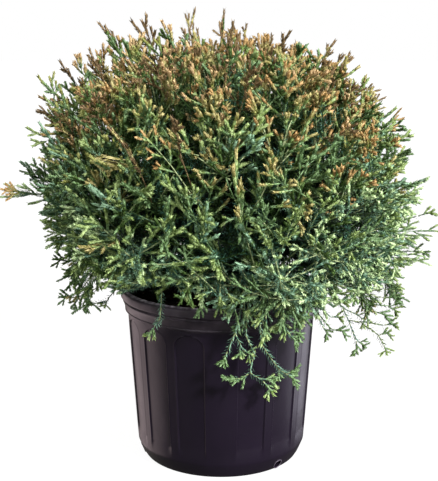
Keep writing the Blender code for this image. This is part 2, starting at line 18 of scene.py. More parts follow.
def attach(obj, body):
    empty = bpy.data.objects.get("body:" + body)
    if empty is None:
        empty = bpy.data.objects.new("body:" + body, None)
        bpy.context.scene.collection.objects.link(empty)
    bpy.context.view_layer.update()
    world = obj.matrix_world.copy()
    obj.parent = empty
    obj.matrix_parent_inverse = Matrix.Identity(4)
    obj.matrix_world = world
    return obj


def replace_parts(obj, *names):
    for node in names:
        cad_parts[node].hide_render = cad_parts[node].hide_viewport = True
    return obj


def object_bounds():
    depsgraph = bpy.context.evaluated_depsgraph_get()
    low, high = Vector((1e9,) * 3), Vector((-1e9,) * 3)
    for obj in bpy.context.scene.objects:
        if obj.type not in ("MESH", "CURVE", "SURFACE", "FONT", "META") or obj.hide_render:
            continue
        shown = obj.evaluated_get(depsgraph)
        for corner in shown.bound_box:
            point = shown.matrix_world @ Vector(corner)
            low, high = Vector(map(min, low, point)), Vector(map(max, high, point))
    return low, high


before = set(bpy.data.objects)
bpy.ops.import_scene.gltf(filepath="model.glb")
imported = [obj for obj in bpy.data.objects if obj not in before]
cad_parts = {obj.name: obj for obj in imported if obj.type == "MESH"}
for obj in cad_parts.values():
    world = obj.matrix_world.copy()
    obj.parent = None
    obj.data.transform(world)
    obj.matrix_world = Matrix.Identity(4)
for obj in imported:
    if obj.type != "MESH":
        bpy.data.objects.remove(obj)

CAD_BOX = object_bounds()
BODY = "root"

# Camera, fitted to the edges of the pot in the photograph
FRAME_HEIGHT_PX = 481.0
FOCAL_PX = 972.5
SENSOR_MM = 36.0
CAMERA_PLACE = (-0.0028, -1.319, 0.568)
CAMERA_PITCH_DEG = 11.45
CAMERA_CLIP = (0.05, 100.0)

# Studio
FLOOR_SIZE = 60.0
FLOOR_DROP = 0.0002
FILL_FROM = -0.2
LOW_FILL = 0.12
HIGH_FILL = 0.46
LIGHT_AIM = (0.0, 0.0, 0.36)
FILL_COLOUR = (1.0, 1.0, 0.84, 1.0)
FLOOR_TONES = ((0.4, (0.09, 0.09, 0.09, 1.0)), (0.6, (0.11, 0.11, 0.11, 1.0)))
FLOOR_GLOW = 0.95
# Suns: place, strength, softness in degrees, colour, whether they show in gloss
SUNS = {
    "key": ((1.5, -1.8, 1.9), 5.5, 8.0, (1.0, 0.97, 1.0), True),
    "back": ((-0.4, 2.0, 1.3), 1.5, 50.0, (1.0, 0.99, 0.97), False),
    "front": ((1.5, -2.4, 0.45), 1.25, 10.0, (0.98, 0.98, 1.0), False),
    "right": ((2.4, -0.95, 0.42), 3.8, 30.0, (0.97, 1.0, 1.0), False),
    "left": ((-1.9, -1.0, 0.5), 2.6, 50.0, (0.98, 1.0, 0.96), False),
}
# Panels that show in the pot's gloss: place, size, power, colour
STRIPS = {
    "left_strip": ((-0.42, 0.12, 0.0), (0.50, 0.50), 1.05, (1.0, 0.78, 0.82)),
    "right_strip": ((0.42, 0.16, 0.11), (0.32, 0.45), 1.00, (0.90, 0.86, 1.0)),
    "right_glow": ((0.42, -0.17, 0.11), (0.32, 0.45), 0.20, (0.92, 0.88, 1.0)),
    "rim_strip": ((-0.30, -0.90, 0.95), (0.9, 0.16), 10.0, (0.95, 0.93, 1.0)),
}

# Pot, as the solids have it
POT_HEIGHT = 0.240
RIM_RADIUS = 0.1397
BODY_TOP_RADIUS = 0.1300
BODY_FOOT_RADIUS = 0.1180
FOOT_RADIUS = 0.1096
FOOT_BEVEL_HEIGHT = 0.020
RIM_BAND_HEIGHT = 0.033
WALL = 0.0030
FLOOR = 0.0035
PANELS_A_SIDE = 7
FIRST_PANEL_DEG = 19.0
PANEL_PITCH_DEG = 24.5
PANEL_HALF_DEG = 8.6
PANEL_EDGE_DEG = 0.75
PANEL_DEPTH = 0.0016
PANEL_LOW = 0.026
PANEL_HIGH = 0.200
PANEL_FOOT_SLOPE = 0.018
ARCH_RISE = 0.016
ARCH_STEPS = 9
ARCH_LAST_DEG = 80.0
EDGE_LIP = -0.14
# A panel's border as widths of its edge outward and shares of its depth, then its columns and rows
PANEL_BORDER = ((2.0, 0.0), (1.0, EDGE_LIP), (0.5, 0.45), (0.0, 1.0))
PANEL_COLUMNS = (-0.7, -0.35, 0.0, 0.35, 0.7)
PILLAR_COLUMNS = 5
PANEL_ROWS = 12
BODY_FOOT_ROWS = ((FOOT_BEVEL_HEIGHT + 0.0030, 0.0), (PANEL_LOW, 0.04))
PANEL_FOOT_ROWS = ((0.3, 0.2), (0.6, 0.6), (0.8, 0.85))
PANEL_CLOSE_ROWS = ((0.0006, 0.8, 0.45), (0.0014, 0.7, -0.16), (0.0026, 0.7, 0.0))
# The rim's band and lip, each as how far in from the rim's radius or down from its top
BAND_FOOT_IN = 0.0062
BAND_TOP_IN = 0.0036
BAND_LOW = 0.0046
BAND_HIGH = 0.0196
LIP_WIDTH = 0.0068
LIP_INNER_ROUND = 0.0016
FOOT_BEAD = ((-0.0006, 0.0006), (0.0004, 0.0014), (0.0005, 0.0026), (-0.0002, 0.0036))
TOP_BEAD = ((0.0007, -0.0188), (0.0008, -0.0178), (-0.0004, -0.0168), (-0.0008, -0.0156), (-0.0002, -0.0146))
# The rolled edge's two corners: radius, depth below the top, first and last angle, steps
RIM_CORNERS = ((0.0018, 0.0118, -65.0, 0.0, 4), (0.0040, 0.0052, 0.0, 70.0, 6))
LIP_INSIDE = ((-0.0006, -0.0080), (-0.0030, -0.0150))
BASE_RADII = (0.030, 0.070)
BASE_EDGE_IN = 0.0040
FOOT_ROUND = 0.0024
FOOT_ROUND_LAST_DEG = -22.0
FOOT_ROWS = (0.3, 0.6, 0.88)
BODY_START_IN = 0.0001
INNER_ROWS = (0.200, 0.150, 0.080)
INNER_FLOOR_RADIUS = 0.050
INNER_LEDGE_DEPTH = 0.019
# From here up the rim's band and lip are coloured lighter than the body
BAND_TONE_FROM = 0.204
BAND_TONE_FULL = 0.209
# From here up the top of the rolled lip is coloured light grey, a painted highlight line along the rim
LIP_HIGHLIGHT_FROM = 0.2376
LIP_HIGHLIGHT_FULL = 0.2390
INNER_KNEE_HEIGHT = 0.022
DRAIN_RADIUS = 0.0068
DRAIN_HEIGHT = 0.009
DRAIN_TILT_DEG = -28.0
DRAIN_CUT = 0.030
DRAIN_SIDES = 40
DRAIN_BEARINGS_DEG = (-47.0, 73.0, 193.0)
DRAIN_LIP = 0.0007
HALVINGS = 30

# Potting mix
MIX_BELOW_RIM = 0.024
MIX_SIDE_GAP = 0.0026
MIX_COLUMNS = 96
MIX_ROWS = 26
MIX_LUMP = 0.0030
MIX_RISE = 0.0015
MIX_WAVES = ((1.0, 0.3, 38.0), (0.55, 0.7, 150.0))
CHIP_COUNT = 620
CHIP_SIZES = (0.003, 0.012)
CHIP_WIDTHS = (0.35, 0.7)
CHIP_HEIGHTS = (0.16, 0.34)
CHIP_TILT = 0.45
CHIP_SMALLNESS = 2.2
CHIP_EDGE_GAP = 0.6
CHIP_PROUD = 0.25
CHIP_RAGGED = (0.72, 1.15)

# Trunk and boughs, as the solids have them
CLEAR = 0.0003
TRUNK_RADIUS = 0.0125
TRUNK_TIP_RADIUS = 0.0050
FLARE_RADIUS = 0.0095
FLARE_HEIGHT = 0.016
FLARE_LOBES = 5
FLARE_LOBE_DEPTH = 0.45
TRUNK_SWAY = 0.006
BOUGH_ROOT_RADIUS = 0.0046
BOUGH_TIP_RADIUS = 0.0026
BOUGH_TURN = 0.55
BOUGH_SHARES = (0.08, 0.80)
TRUNK_GRID = (44, 110)
BOUGH_GRID = (16, 44)
BARK_RIDGE = 0.13
SWAY_ASIDE = 0.6
STRING_TURN = 2.2
STRING_RUN = 16.0
KNOT_RUN = 45.0
RIDGE_SHARE = 0.7
KNOT_SHARE = 0.3
RELIEF_MEAN = 0.55
LIMB_STEP = 0.02
STEEP = 0.7
BARK_SMOOTH_DEG = 70.0
TWIG_ROOT_SHARE = 0.62
TWIG_TIP_RADIUS = 0.0011
TRAIL_TWIG_RADII = (0.0013, 0.0012)

# Crown, as the solids have it
HEART_HEIGHT = 0.350
CROWN_RADIUS = 0.270
CROWN_RISE = 0.240
CROWN_DROP = 0.160
SQUARENESS = 2.5
LUMPINESS = 0.035
LUMP_WAVES = ((1.0, 3.0, 0.6, -1.6), (0.6, 5.0, 0.0, -1.0))
RIGHT_BIAS = 0.035
LOW_SINE = 0.6
MASS_COUNT = 24
LOWEST_MASS_SINE = -0.50
STEM_SHARE = 0.42
CORE_FLOOR = POT_HEIGHT + 0.022
SHOOT_COUNT = 214
LOWEST_SHOOT_SINE = -0.60
SHOOT_SCATTER = 0.045
SHOOT_ROOT_SHARE = 0.68
SHOOT_TIP_SHARES = (0.91, 1.01)
ROOT_GATHER = 0.30
TIP_MARGIN = 0.006
TIP_SWING = 0.08
SEED = 41
# The sprigs that stand furthest out of the dome: bearing, elevation, distance from the heart
FAR_SPRIGS = (
    (180.0, 6.0, 0.298),
    (176.0, 28.0, 0.292),
    (172.0, 40.0, 0.288),
    (178.0, 57.0, 0.284),
    (205.0, 57.0, 0.276),
    (180.0, 67.0, 0.274),
    (150.0, 79.0, 0.277),
    (90.0, 88.0, 0.252),
    (60.0, 66.0, 0.244),
    (8.0, 49.0, 0.276),
    (24.0, 28.0, 0.286),
    (6.0, 3.0, 0.290),
    (-6.0, -4.0, 0.294),
    (-8.0, -14.0, 0.288),
    (-100.0, 52.0, 0.268),
    (95.0, 20.0, 0.284),
)
# Shoots that trail over the rim: bearing, rim crossing radius, tip radius, tip height, sideways swing
TRAILS = (
    (2.0, 0.196, 0.246, 0.216, -0.006),
    (16.0, 0.185, 0.222, 0.168, -0.012),
    (176.0, 0.182, 0.200, 0.252, 0.010),
    (150.0, 0.170, 0.184, 0.246, -0.008),
    (88.0, 0.168, 0.178, 0.168, 0.010),
    (56.0, 0.170, 0.190, 0.184, -0.010),
    (-160.0, 0.172, 0.192, 0.232, 0.008),
)
TRAIL_CREST_SHARE = 1.06
TRAIL_CREST_HEIGHT = 0.284
TRAIL_JOINTS = (0.16, 0.34, 0.52, 0.70, 0.86)
TRAIL_END_FROM = 0.80
TRAIL_SIDE_COUNT = 8
TRAIL_SIDE_SPAN = (0.30, 0.86)
TRAIL_SIDE_LENGTHS = (0.056, 0.030)
TRAIL_SIDEWAYS = (0.5, 0.95)
TRAIL_OUTWARD = (-0.05, 0.35)
TRAIL_AHEAD = 0.35
TRAIL_DROOP = 0.10
TRAIL_STEP = 0.05
TRAIL_TIPS = {"lime": 5.0, "leaf": 2.0, "gold": 1.0}
# Shoots that hang down the front of the pot: the bearings and the heights in millimetres that each passes
HANG_RADIUS = 0.157
FRONT_SHOOTS = (
    (-80.1, 262, -81.9, 234, -83.7, 215, -86.9, 193, -90.1, 172),
    (-83.7, 215, -80.0, 192, -75.3, 185),
    (-81.4, 199, -81.9, 182),
    (-77.5, 262, -78.7, 211, -74.8, 188, -76.7, 162, -84.4, 148),
    (-80.5, 155, -89.5, 155),
    (-76.7, 162, -70.8, 151, -65.1, 130),
    (-72.5, 154, -63.0, 145),
    (-68.2, 262, -61.8, 223, -50.4, 187),
    (-57.5, 210, -48.0, 203),
    (-72.0, 225, -71.0, 197, -66.4, 178, -62.1, 162, -50.7, 139),
    (-62.1, 162, -62.5, 146),
    (-58.0, 154, -50.5, 156),
    (-118.2, 264, -119.4, 229, -127.2, 198),
    (-100.1, 276, -98.8, 238),
    (-92.8, 276, -90.1, 240),
    (-91.8, 258, -85.6, 244),
    (-76.0, 276, -73.1, 240),
    (-57.0, 262, -47.3, 217),
    (-64.0, 250, -57.5, 205),
    (-74.5, 250, -67.0, 205),
)
# Shoots that stand out of the crown at its sides, in millimetres: depth, then places across and up
SIDE_SHOOTS = (
    (-40, 148, 240, 166, 215, 175, 195, 185, 170, 187, 150),
    (-40, 166, 215, 187, 205, 198, 195, 221, 191, 242, 194),
    (-40, 174, 198, 191, 195, 215, 177, 223, 164, 228, 150),
    (-40, 187, 205, 204, 212, 232, 203),
    (-40, 185, 170, 200, 160),
    (-40, 215, 177, 234, 181),
    (-30, 155, 252, 193, 235, 218, 227, 247, 228),
    (-30, 179, 239, 206, 218, 232, 215, 249, 221),
    (-30, 228, 215, 246, 206),
    (-30, 190, 238, 220, 238, 246, 241),
    (-20, 170, 264, 196, 259, 235, 258),
    (-20, 180, 261, 199, 261, 218, 249),
    (-20, 217, 288, 250, 290, 283, 290),
    (-90, 119, 240, 132, 206, 143, 190),
    (-90, 127, 222, 144, 200, 168, 196),
    (-90, 125, 235, 143, 217, 161, 217),
    (-30, -150, 250, -179, 236, -197, 227, -221, 228),
    (-30, -185, 234, -199, 252),
    (-30, -194, 229, -204, 214),
    (-50, -137, 250, -153, 230, -157, 218),
    (-50, -153, 228, -167, 225, -186, 221),
    (-20, -179, 275, -203, 275, -229, 279),
    (-20, -217, 381, -244, 368, -270, 372, -292, 380),
    (-20, -258, 370, -290, 368),
    (-20, 236, 330, 264, 338, 292, 346),
    (-20, -185, 311, -205, 325, -221, 331),
    (-20, -198, 344, -225, 344, -240, 348),
)
FAN_LENGTH = 0.026
JOINT_LENGTH = 0.022
SIDE_FAN_CHANCE = 0.40
SIDE_FAN_LENGTHS = (0.75, 1.05)
SIDE_FAN_ASIDE = (0.5, 0.9)
FAN_MOST_SHARE = 0.9
LEAST_GAP = 0.4
LEAST_JOINT = 0.2
SIDE_TONE_HEIGHT = -0.1
# Sprays that hang in front of the rim: bearings, and the lowest height that their tips reach
FRINGE_COUNT = 11
FRINGE_BEARINGS = (-86.0, -78.0, -68.0, -56.0, -42.0)
FRINGE_LOWEST = (0.240, 0.226, 0.206, 0.202, 0.214)
FRINGE_HIGHEST = 0.250
FRINGE_POWER = 1.3
FRINGE_BEND_RADII = (0.168, 0.180)
FRINGE_BEND_HEIGHTS = (0.256, 0.276)
FRINGE_END_RADII = (0.154, 0.170)
FRINGE_SWING = 0.028
FRINGE_RISE = 0.03
FRINGE_BACK = 0.02

# Finer sprays
FINE_COUNT = 640
LOW_SKIP = 0.50
LOWEST_FINE_SINE = -0.60
FINE_SCATTER = 0.045
FINE_TIP_SHARES = (0.84, 0.955)
FINE_LENGTHS = (0.080, 0.108)
SHORTEST_SPRAY = 0.65
LONGEST_SPRAY = 1.2
RUNNER_LENGTH = 0.040
STRAY_CHANCE = 0.19
STRAY_SHARES = (0.975, 1.035)
STRAY_LIMIT = 0.16
# Slim shoots are dealt bronze more often the higher they stand: painted shade for shoots dark against the
# backdrop
SLIM_FROM_SHARE = 0.97
SLIM_GREEN_BELOW = 0.20
SLIM_BRONZE_RISE = 1.5
LOW_SHRINK = 0.09
SHRINK_BELOW = 0.1
SHRINK_DEPTH = 0.3
SKIRT_ENDS = (-0.2, 0.25)
INNER_COUNT = 680
OUTER_BRUSH_SHARES = (0.66, 0.90)
INNER_BRUSH_SHARES = (0.36, 0.62)
LOW_BRUSH_SHARES = (0.40, 0.78)
FORMS_A_KIND = 10
LEADER_SWEEP = 0.030
LEADER_SPANS = (0.22, 0.45)
CARRIER_SPAN = (0.15, 0.90)
CARRIER_PLACES = 16
BRUSH_RISE = 0.12
BRUSH_SCATTER = 0.10
LOW_BRUSH_BELOW = -0.1
POT_CLEARANCE = 0.002
MOST_PROUD = 0.013
PIECE_LIMIT = 190000
# How strongly shoots point up and outward at heights in the crown from its skirt to its top
SWEEP_HEIGHTS = (-0.6, -0.25, 0.1, 0.5, 1.0)
UP_SWEEP = (-0.25, 0.25, 0.65, 0.95, 1.2)
OUT_SWEEP = (0.95, 0.80, 0.65, 0.50, 0.15)
OUT_AT_FRONT = 0.60
OUT_AT_SIDE = 1.25
SIDE_STRAY = 0.62
OUT_STRAY = 0.30
# The crown's underside at bearings round it: its height over the rim and its rise outward from there
SKIRT_BEARINGS = (-180.0, -150.0, -135.0, -105.0, -88.0, -70.0, -45.0, -20.0, 20.0, 60.0, 120.0, 180.0)
SKIRT_HEIGHTS = (0.225, 0.235, 0.254, 0.256, 0.246, 0.232, 0.226, 0.234, 0.236, 0.236, 0.236, 0.225)
SKIRT_RISES = (0.75, 0.60, 0.34, 0.30, 0.28, 0.25, 0.24, 0.26, 0.30, 0.40, 0.50, 0.75)
SKIRT_WAVES = ((0.006, 9.0, 0.4), (0.005, 17.0, 2.0), (0.004, 31.0, 4.1))
SKIRT_SLACK = 0.014
MOST_LIFT = 0.06
SHOOT_FLOOR_MARGIN = 0.010
RAISED_FROM = 0.4
LEAST_SHARE = 0.3

GOLDEN_ANGLE = math.pi * (3.0 - math.sqrt(5.0))
HEART = Vector((0.0, 0.0, HEART_HEIGHT))
MIX_TOP = POT_HEIGHT - MIX_BELOW_RIM
UP = Vector((0.0, 0.0, 1.0))
LEAST_LEVEL = 0.05
# Directions that turn a tube's or a leaf's sides: the second is for those that run along the first
TUBE_GUIDES = ((0.31, 0.85, 0.42), (0.9, 0.1, 0.4))
LEAF_GUIDES = ((0.2, 0.9, 0.1), (0.9, 0.1, 0.1))
ALONG_GUIDE = 0.8
# Draws: spots within even steps, and lengths about their mean
EVEN_SPOTS = (0.3, 0.7)
LENGTH_STRAY = (0.8, 1.2)

# Colours as red, green and blue from 0 to 255, each with where it is full on the noise that mixes them
POT_BODY_TONES = ((0.30, (15, 10, 20)), (0.70, (22, 15, 28)))
# The rim's band and lip, lighter than the body
POT_BAND_TONES = ((0.35, (30, 25, 32)), (0.65, (54, 47, 55)))
# A painted highlight: light grey along the top of the rolled lip
POT_LIP_HIGHLIGHT_TONES = ((0.38, (70, 64, 72)), (0.62, (150, 144, 152)))
# A painted highlight: light grey on the beads round the drain holes
DRAIN_HIGHLIGHT_TONES = ((0.3, (58, 52, 62)), (0.7, (98, 90, 102)))
MIX_TONES = ((0.32, (16, 12, 10)), (0.52, (36, 26, 20)), (0.70, (66, 48, 36)))
BARK_STOPS = (0.30, 0.52, 0.72)
BARK_TONES = ((44, 31, 23), (86, 62, 46), (128, 102, 80))
TWIG_TONES = ((36, 29, 22), (58, 48, 36), (86, 74, 56))
FIBRE_STRETCH = (5.0, 5.0, 0.8)
# Foliage: a shade and a lit tone for each
FOLIAGE_TONES = {
    "rust": ((136, 105, 58), (188, 157, 107)),
    "rose": ((148, 120, 78), (202, 175, 132)),
    "gold": ((126, 120, 60), (182, 172, 120)),
    "olive": ((110, 116, 48), (162, 164, 102)),
    "lime": ((96, 118, 52), (158, 178, 120)),
    "mint": ((84, 118, 88), (146, 178, 148)),
    # Dealt only low on the crown's sides: painted light
    "pale": ((124, 152, 104), (202, 222, 170)),
    "leaf": ((70, 98, 50), (122, 150, 106)),
    "moss": ((44, 66, 20), (86, 112, 59)),
    "deep": ((20, 38, 9), (44, 68, 28)),
    "spruce": ((30, 58, 46), (70, 112, 92)),
    "frost": ((60, 98, 78), (120, 154, 130)),
    "bronze": ((86, 70, 46), (134, 112, 80)),
    "straw": ((104, 118, 76), (156, 168, 124)),
    # Near-black: painted shade, dealt to the needles and stems inside the crown
    "shade": ((6, 14, 10), (19, 34, 26)),
}
# How often each tone is dealt at heights from the skirt to the top of the crown
TONE_HEIGHTS = (-0.3, 0.30, 0.49, 0.9)
TONE_STRAY = 0.09
RIGHT_COOL = 0.035
TIP_DEAL = {
    "rust": (0.0, 0.05, 3.0, 4.4),
    "rose": (0.0, 0.0, 1.9, 3.8),
    "gold": (0.05, 1.0, 3.6, 3.6),
    "lime": (3.0, 5.0, 1.8, 0.6),
    "mint": (3.2, 1.6, 0.1, 0.0),
    "leaf": (2.6, 3.2, 1.2, 0.5),
    "moss": (1.4, 1.0, 0.5, 0.2),
    "bronze": (0.0, 0.0, 0.3, 0.5),
}
# The tones of the neck and the cord behind a tip, by the tip's own
CHAIN_TONES = {
    "rust": ("gold gold lime", "olive leaf moss"),
    "rose": ("gold gold rust", "gold leaf olive"),
    "gold": ("gold lime lime", "leaf lime moss"),
    "olive": ("lime leaf", "leaf moss"),
    "lime": ("lime lime leaf", "leaf mint leaf"),
    "mint": ("mint leaf", "frost mint"),
    "pale": ("mint pale", "frost mint"),
    "leaf": ("leaf leaf moss", "moss leaf"),
    "moss": ("moss leaf", "moss deep"),
    "bronze": ("bronze moss gold", "moss bronze"),
}
NEEDLE_DEAL = {
    "frost": (1.9, 1.4, 0.4, 0.2),
    "spruce": (3.4, 2.6, 1.4, 0.8),
    "deep": (0.5, 0.8, 1.2, 1.2),
    "moss": (0.9, 2.2, 3.4, 3.6),
}
STEM_DEAL = {"straw": (1.4, 1.2, 1.0, 1.0), "leaf": (1.0, 1.2, 1.4, 1.4)}
HANG_TONES = {"tip": "lime", "neck": "leaf", "cord": "leaf", "needle": "frost", "stem": "straw"}
# Low on the sides, mostly on the right, tips and needles are dealt lighter tones, painted light for the sides
# that the light falls on; and high on the left the gold ones are olive, at these chances
PALE_CHANCE = 0.92
PALE_RIGHT = 0.9
PALE_LEFT = 0.35
PALE_BELOW = 0.13
OLIVE_ABOVE = 0.35
OLIVE_CHANCE = 1.2
BRUSH_COOL_BELOW = 0.2


def lerp(a, b, t):
    return a + (b - a) * t


def polar(bearing, elevation=0.0):
    """The unit vector at a bearing from +X and an elevation, in radians."""
    flat = math.cos(elevation)
    return Vector((flat * math.cos(bearing), flat * math.sin(bearing), math.sin(elevation)))


def sideways_of(direction):
    """A unit vector square to a direction, level where it can be."""
    level = Vector((-direction.y, direction.x, 0.0))
    if level.length < LEAST_LEVEL:
        level = Vector((1.0, 0.0, 0.0)).cross(direction)
    return level.normalized()


def bezier(start, bend, end, share):
    return lerp(lerp(start, bend, share), lerp(bend, end, share), share)


# Materials


def linear(rgb):
    """A colour given from 0 to 255 as the linear values that the shader takes."""
    shares = [value / 255.0 for value in rgb]
    return tuple(s / 12.92 if s <= 0.04045 else ((s + 0.055) / 1.055) ** 2.4 for s in shares) + (1.0,)


class Finish:
    """A material whose colour, roughness and relief are built up from a few nodes."""

    def __init__(self, name, roughness, specular=0.5):
        self.material = bpy.data.materials.new(name)
        self.material.use_nodes = True
        self.tree = self.material.node_tree
        self.shader = self.tree.nodes["Principled BSDF"]
        self.shader.inputs["Roughness"].default_value = roughness
        self.shader.inputs["Specular IOR Level"].default_value = specular
        self.place = self.tree.nodes.new("ShaderNodeTexCoord").outputs["Object"]
        self.relief = None

    def wire(self, source, target):
        self.tree.links.new(source, target)

    def stretched(self, scale):
        node = self.tree.nodes.new("ShaderNodeMapping")
        node.inputs["Scale"].default_value = scale
        self.wire(self.place, node.inputs["Vector"])
        return node.outputs["Vector"]

    def noise(self, scale, detail=3.0, place=None):
        node = self.tree.nodes.new("ShaderNodeTexNoise")
        node.inputs["Scale"].default_value = scale
        node.inputs["Detail"].default_value = detail
        self.wire(place or self.place, node.inputs["Vector"])
        return node.outputs["Fac"]

    def cells(self, scale, place=None):
        node = self.tree.nodes.new("ShaderNodeTexVoronoi")
        node.inputs["Scale"].default_value = scale
        self.wire(place or self.place, node.inputs["Vector"])
        return node.outputs["Distance"]

    def ramp(self, source, stops):
        node = self.tree.nodes.new("ShaderNodeValToRGB")
        node.color_ramp.elements.remove(node.color_ramp.elements[1])
        for number, (at, colour) in enumerate(stops):
            stop = node.color_ramp.elements[0] if number == 0 else node.color_ramp.elements.new(at)
            stop.position = at
            stop.color = colour
        self.wire(source, node.inputs["Fac"])
        return node.outputs["Color"]

    def mottle(self, tones, scale, detail=3.0):
        """Colours from 0 to 255 mixed by noise, each with the value of the noise where it is full."""
        return self.ramp(self.noise(scale, detail), [(at, linear(rgb)) for at, rgb in tones])

    def above(self, low, high):
        """A factor that rises from 0 to 1 between two heights."""
        split = self.tree.nodes.new("ShaderNodeSeparateXYZ")
        self.wire(self.place, split.inputs["Vector"])
        node = self.tree.nodes.new("ShaderNodeMapRange")
        node.inputs["From Min"].default_value = low
        node.inputs["From Max"].default_value = high
        self.wire(split.outputs["Z"], node.inputs["Value"])
        return node.outputs["Result"]

    def blend(self, factor, first, second):
        node = self.tree.nodes.new("ShaderNodeMix")
        node.data_type = "RGBA"
        self.wire(factor, node.inputs["Factor"])
        self.wire(first, node.inputs[6])
        self.wire(second, node.inputs[7])
        return node.outputs[2]

    def colour(self, source):
        self.wire(source, self.shader.inputs["Base Color"])

    def roughness(self, source, low, high):
        node = self.tree.nodes.new("ShaderNodeMapRange")
        node.inputs["To Min"].default_value = low
        node.inputs["To Max"].default_value = high
        self.wire(source, node.inputs["Value"])
        self.wire(node.outputs["Result"], self.shader.inputs["Roughness"])

    def bump(self, source, depth, strength=1.0):
        node = self.tree.nodes.new("ShaderNodeBump")
        node.inputs["Strength"].default_value = strength
        node.inputs["Distance"].default_value = depth
        self.wire(source, node.inputs["Height"])
        if self.relief:
            self.wire(self.relief, node.inputs["Normal"])
        self.relief = node.outputs["Normal"]
        self.wire(self.relief, self.shader.inputs["Normal"])


def foliage_finish(tone):
    shade, lit = FOLIAGE_TONES[tone]
    finish = Finish(f"foliage_{tone}", roughness=0.58, specular=0.34)
    finish.colour(finish.mottle(((0.34, shade), (0.62, lit)), scale=230.0))
    finish.bump(finish.cells(scale=430.0), depth=0.0004, strength=0.55)
    return finish.material


def pot_finish():
    finish = Finish("pot_plastic", roughness=0.40, specular=0.36)
    body_tone = finish.mottle(POT_BODY_TONES, scale=9.0)
    # The rim's band and lip are coloured lighter than the body below them
    band_tone = finish.mottle(POT_BAND_TONES, scale=60.0, detail=6.0)
    # The top of the rolled lip is coloured light grey as a painted highlight line
    painted_highlight = finish.mottle(POT_LIP_HIGHLIGHT_TONES, scale=150.0, detail=4.0)
    below_lip = finish.blend(finish.above(BAND_TONE_FROM, BAND_TONE_FULL), body_tone, band_tone)
    finish.colour(finish.blend(finish.above(LIP_HIGHLIGHT_FROM, LIP_HIGHLIGHT_FULL), below_lip, painted_highlight))
    finish.roughness(finish.noise(scale=26.0, detail=6.0), low=0.28, high=0.46)
    finish.bump(finish.noise(scale=900.0, detail=2.0), depth=0.00012, strength=0.5)
    finish.bump(finish.noise(scale=34.0, detail=2.0), depth=0.0012, strength=0.35)
    return finish.material


def mix_finish():
    finish = Finish("potting_mix", roughness=0.95, specular=0.2)
    finish.colour(finish.mottle(MIX_TONES, scale=190.0, detail=8.0))
    finish.bump(finish.noise(scale=420.0, detail=6.0), depth=0.0016)
    return finish.material


def bark_finish(name, tones):
    finish = Finish(name, roughness=0.86, specular=0.25)
    fibres = finish.noise(scale=70.0, detail=8.0, place=finish.stretched(FIBRE_STRETCH))
    finish.colour(finish.ramp(fibres, [(at, linear(rgb)) for at, rgb in zip(BARK_STOPS, tones)]))
    finish.bump(fibres, depth=0.0009)
    return finish.material


# Meshes


def show(name, mesh, material, smooth_angle=None):
    """Puts a mesh in the scene as a piece that rides on the plant's one body."""
    obj = bpy.data.objects.new(name, mesh)
    bpy.context.scene.collection.objects.link(obj)
    mesh.materials.clear()
    mesh.materials.append(material)
    if smooth_angle:
        mesh.shade_smooth()
        mesh.set_sharp_from_angle(angle=math.radians(smooth_angle))
    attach(obj, BODY)
    return obj


def triangle_mesh(name, points, triangles):
    mesh = bpy.data.meshes.new(name)
    mesh.vertices.add(len(points))
    mesh.vertices.foreach_set("co", points.astype(np.float32).ravel())
    mesh.loops.add(3 * len(triangles))
    mesh.loops.foreach_set("vertex_index", triangles.astype(np.int32).ravel())
    mesh.polygons.add(len(triangles))
    mesh.polygons.foreach_set("loop_start", np.arange(0, 3 * len(triangles), 3, dtype=np.int32))
    mesh.update(calc_edges=True)
    mesh.validate()
    return mesh


def ring_mesh(name, rings):
    """A closed skin round rings of points, one after another, capped at both ends."""
    rings = np.array(rings, dtype=float)
    rows, columns, _ = rings.shape
    bm = bmesh.new()
    verts = [[bm.verts.new(point) for point in ring] for ring in rings]
    for low, high in zip(verts, verts[1:]):
        for i in range(columns):
            j = (i + 1) % columns
            bm.faces.new((low[i], low[j], high[j], high[i]))
    bm.faces.new(tuple(reversed(verts[0])))
    bm.faces.new(tuple(verts[-1]))
    bmesh.ops.recalc_face_normals(bm, faces=bm.faces)
    mesh = bpy.data.meshes.new(name)
    bm.to_mesh(mesh)
    bm.free()
    return mesh


class Heap:
    """Points and triangles gathered from many small closed shapes."""

    def __init__(self):
        self.points = []
        self.triangles = []
        self.count = 0

    def add(self, points, triangles):
        self.points.append(points)
        self.triangles.append(triangles + self.count)
        self.count += len(points)

    def arrays(self):
        return np.concatenate(self.points), np.concatenate(self.triangles)


def tube(path, radii, sides, beyond=None):
    """A closed tube whose rings turn half a side at a time, with a point past its end if beyond is given."""
    path = np.array(path, dtype=float)
    radii = np.array(radii, dtype=float)
    ahead = np.gradient(path, axis=0)
    ahead /= np.linalg.norm(ahead, axis=1, keepdims=True)
    guide = np.array(TUBE_GUIDES[abs(ahead[0][1]) >= ALONG_GUIDE])
    across = np.cross(ahead, guide)
    across /= np.linalg.norm(across, axis=1, keepdims=True)
    other = np.cross(ahead, across)
    rings = len(path)
    turns = (np.arange(sides)[None, :] + 0.5 * np.arange(rings)[:, None]) * math.tau / sides
    round_it = across[:, None] * np.cos(turns)[..., None] + other[:, None] * np.sin(turns)[..., None]
    points = (path[:, None] + round_it * radii[:, None, None]).reshape(-1, 3)
    here = np.arange(sides)
    following = (here + 1) % sides
    triangles = []
    for ring in range(rings - 1):
        low = ring * sides
        high = low + sides
        triangles.append(np.stack((low + here, low + following, high + here), axis=1))
        triangles.append(np.stack((low + following, high + following, high + here), axis=1))
    fan = np.arange(1, sides - 1)
    triangles.append(np.stack((fan * 0, fan + 1, fan), axis=1))
    last = (rings - 1) * sides
    if beyond is None:
        triangles.append(np.stack((last + fan * 0, last + fan, last + fan + 1), axis=1))
    else:
        points = np.concatenate((points, [path[-1] + ahead[-1] * beyond]))
        triangles.append(np.stack((last + here, last + following, np.full(sides, last + sides)), axis=1))
    return points, np.concatenate(triangles)


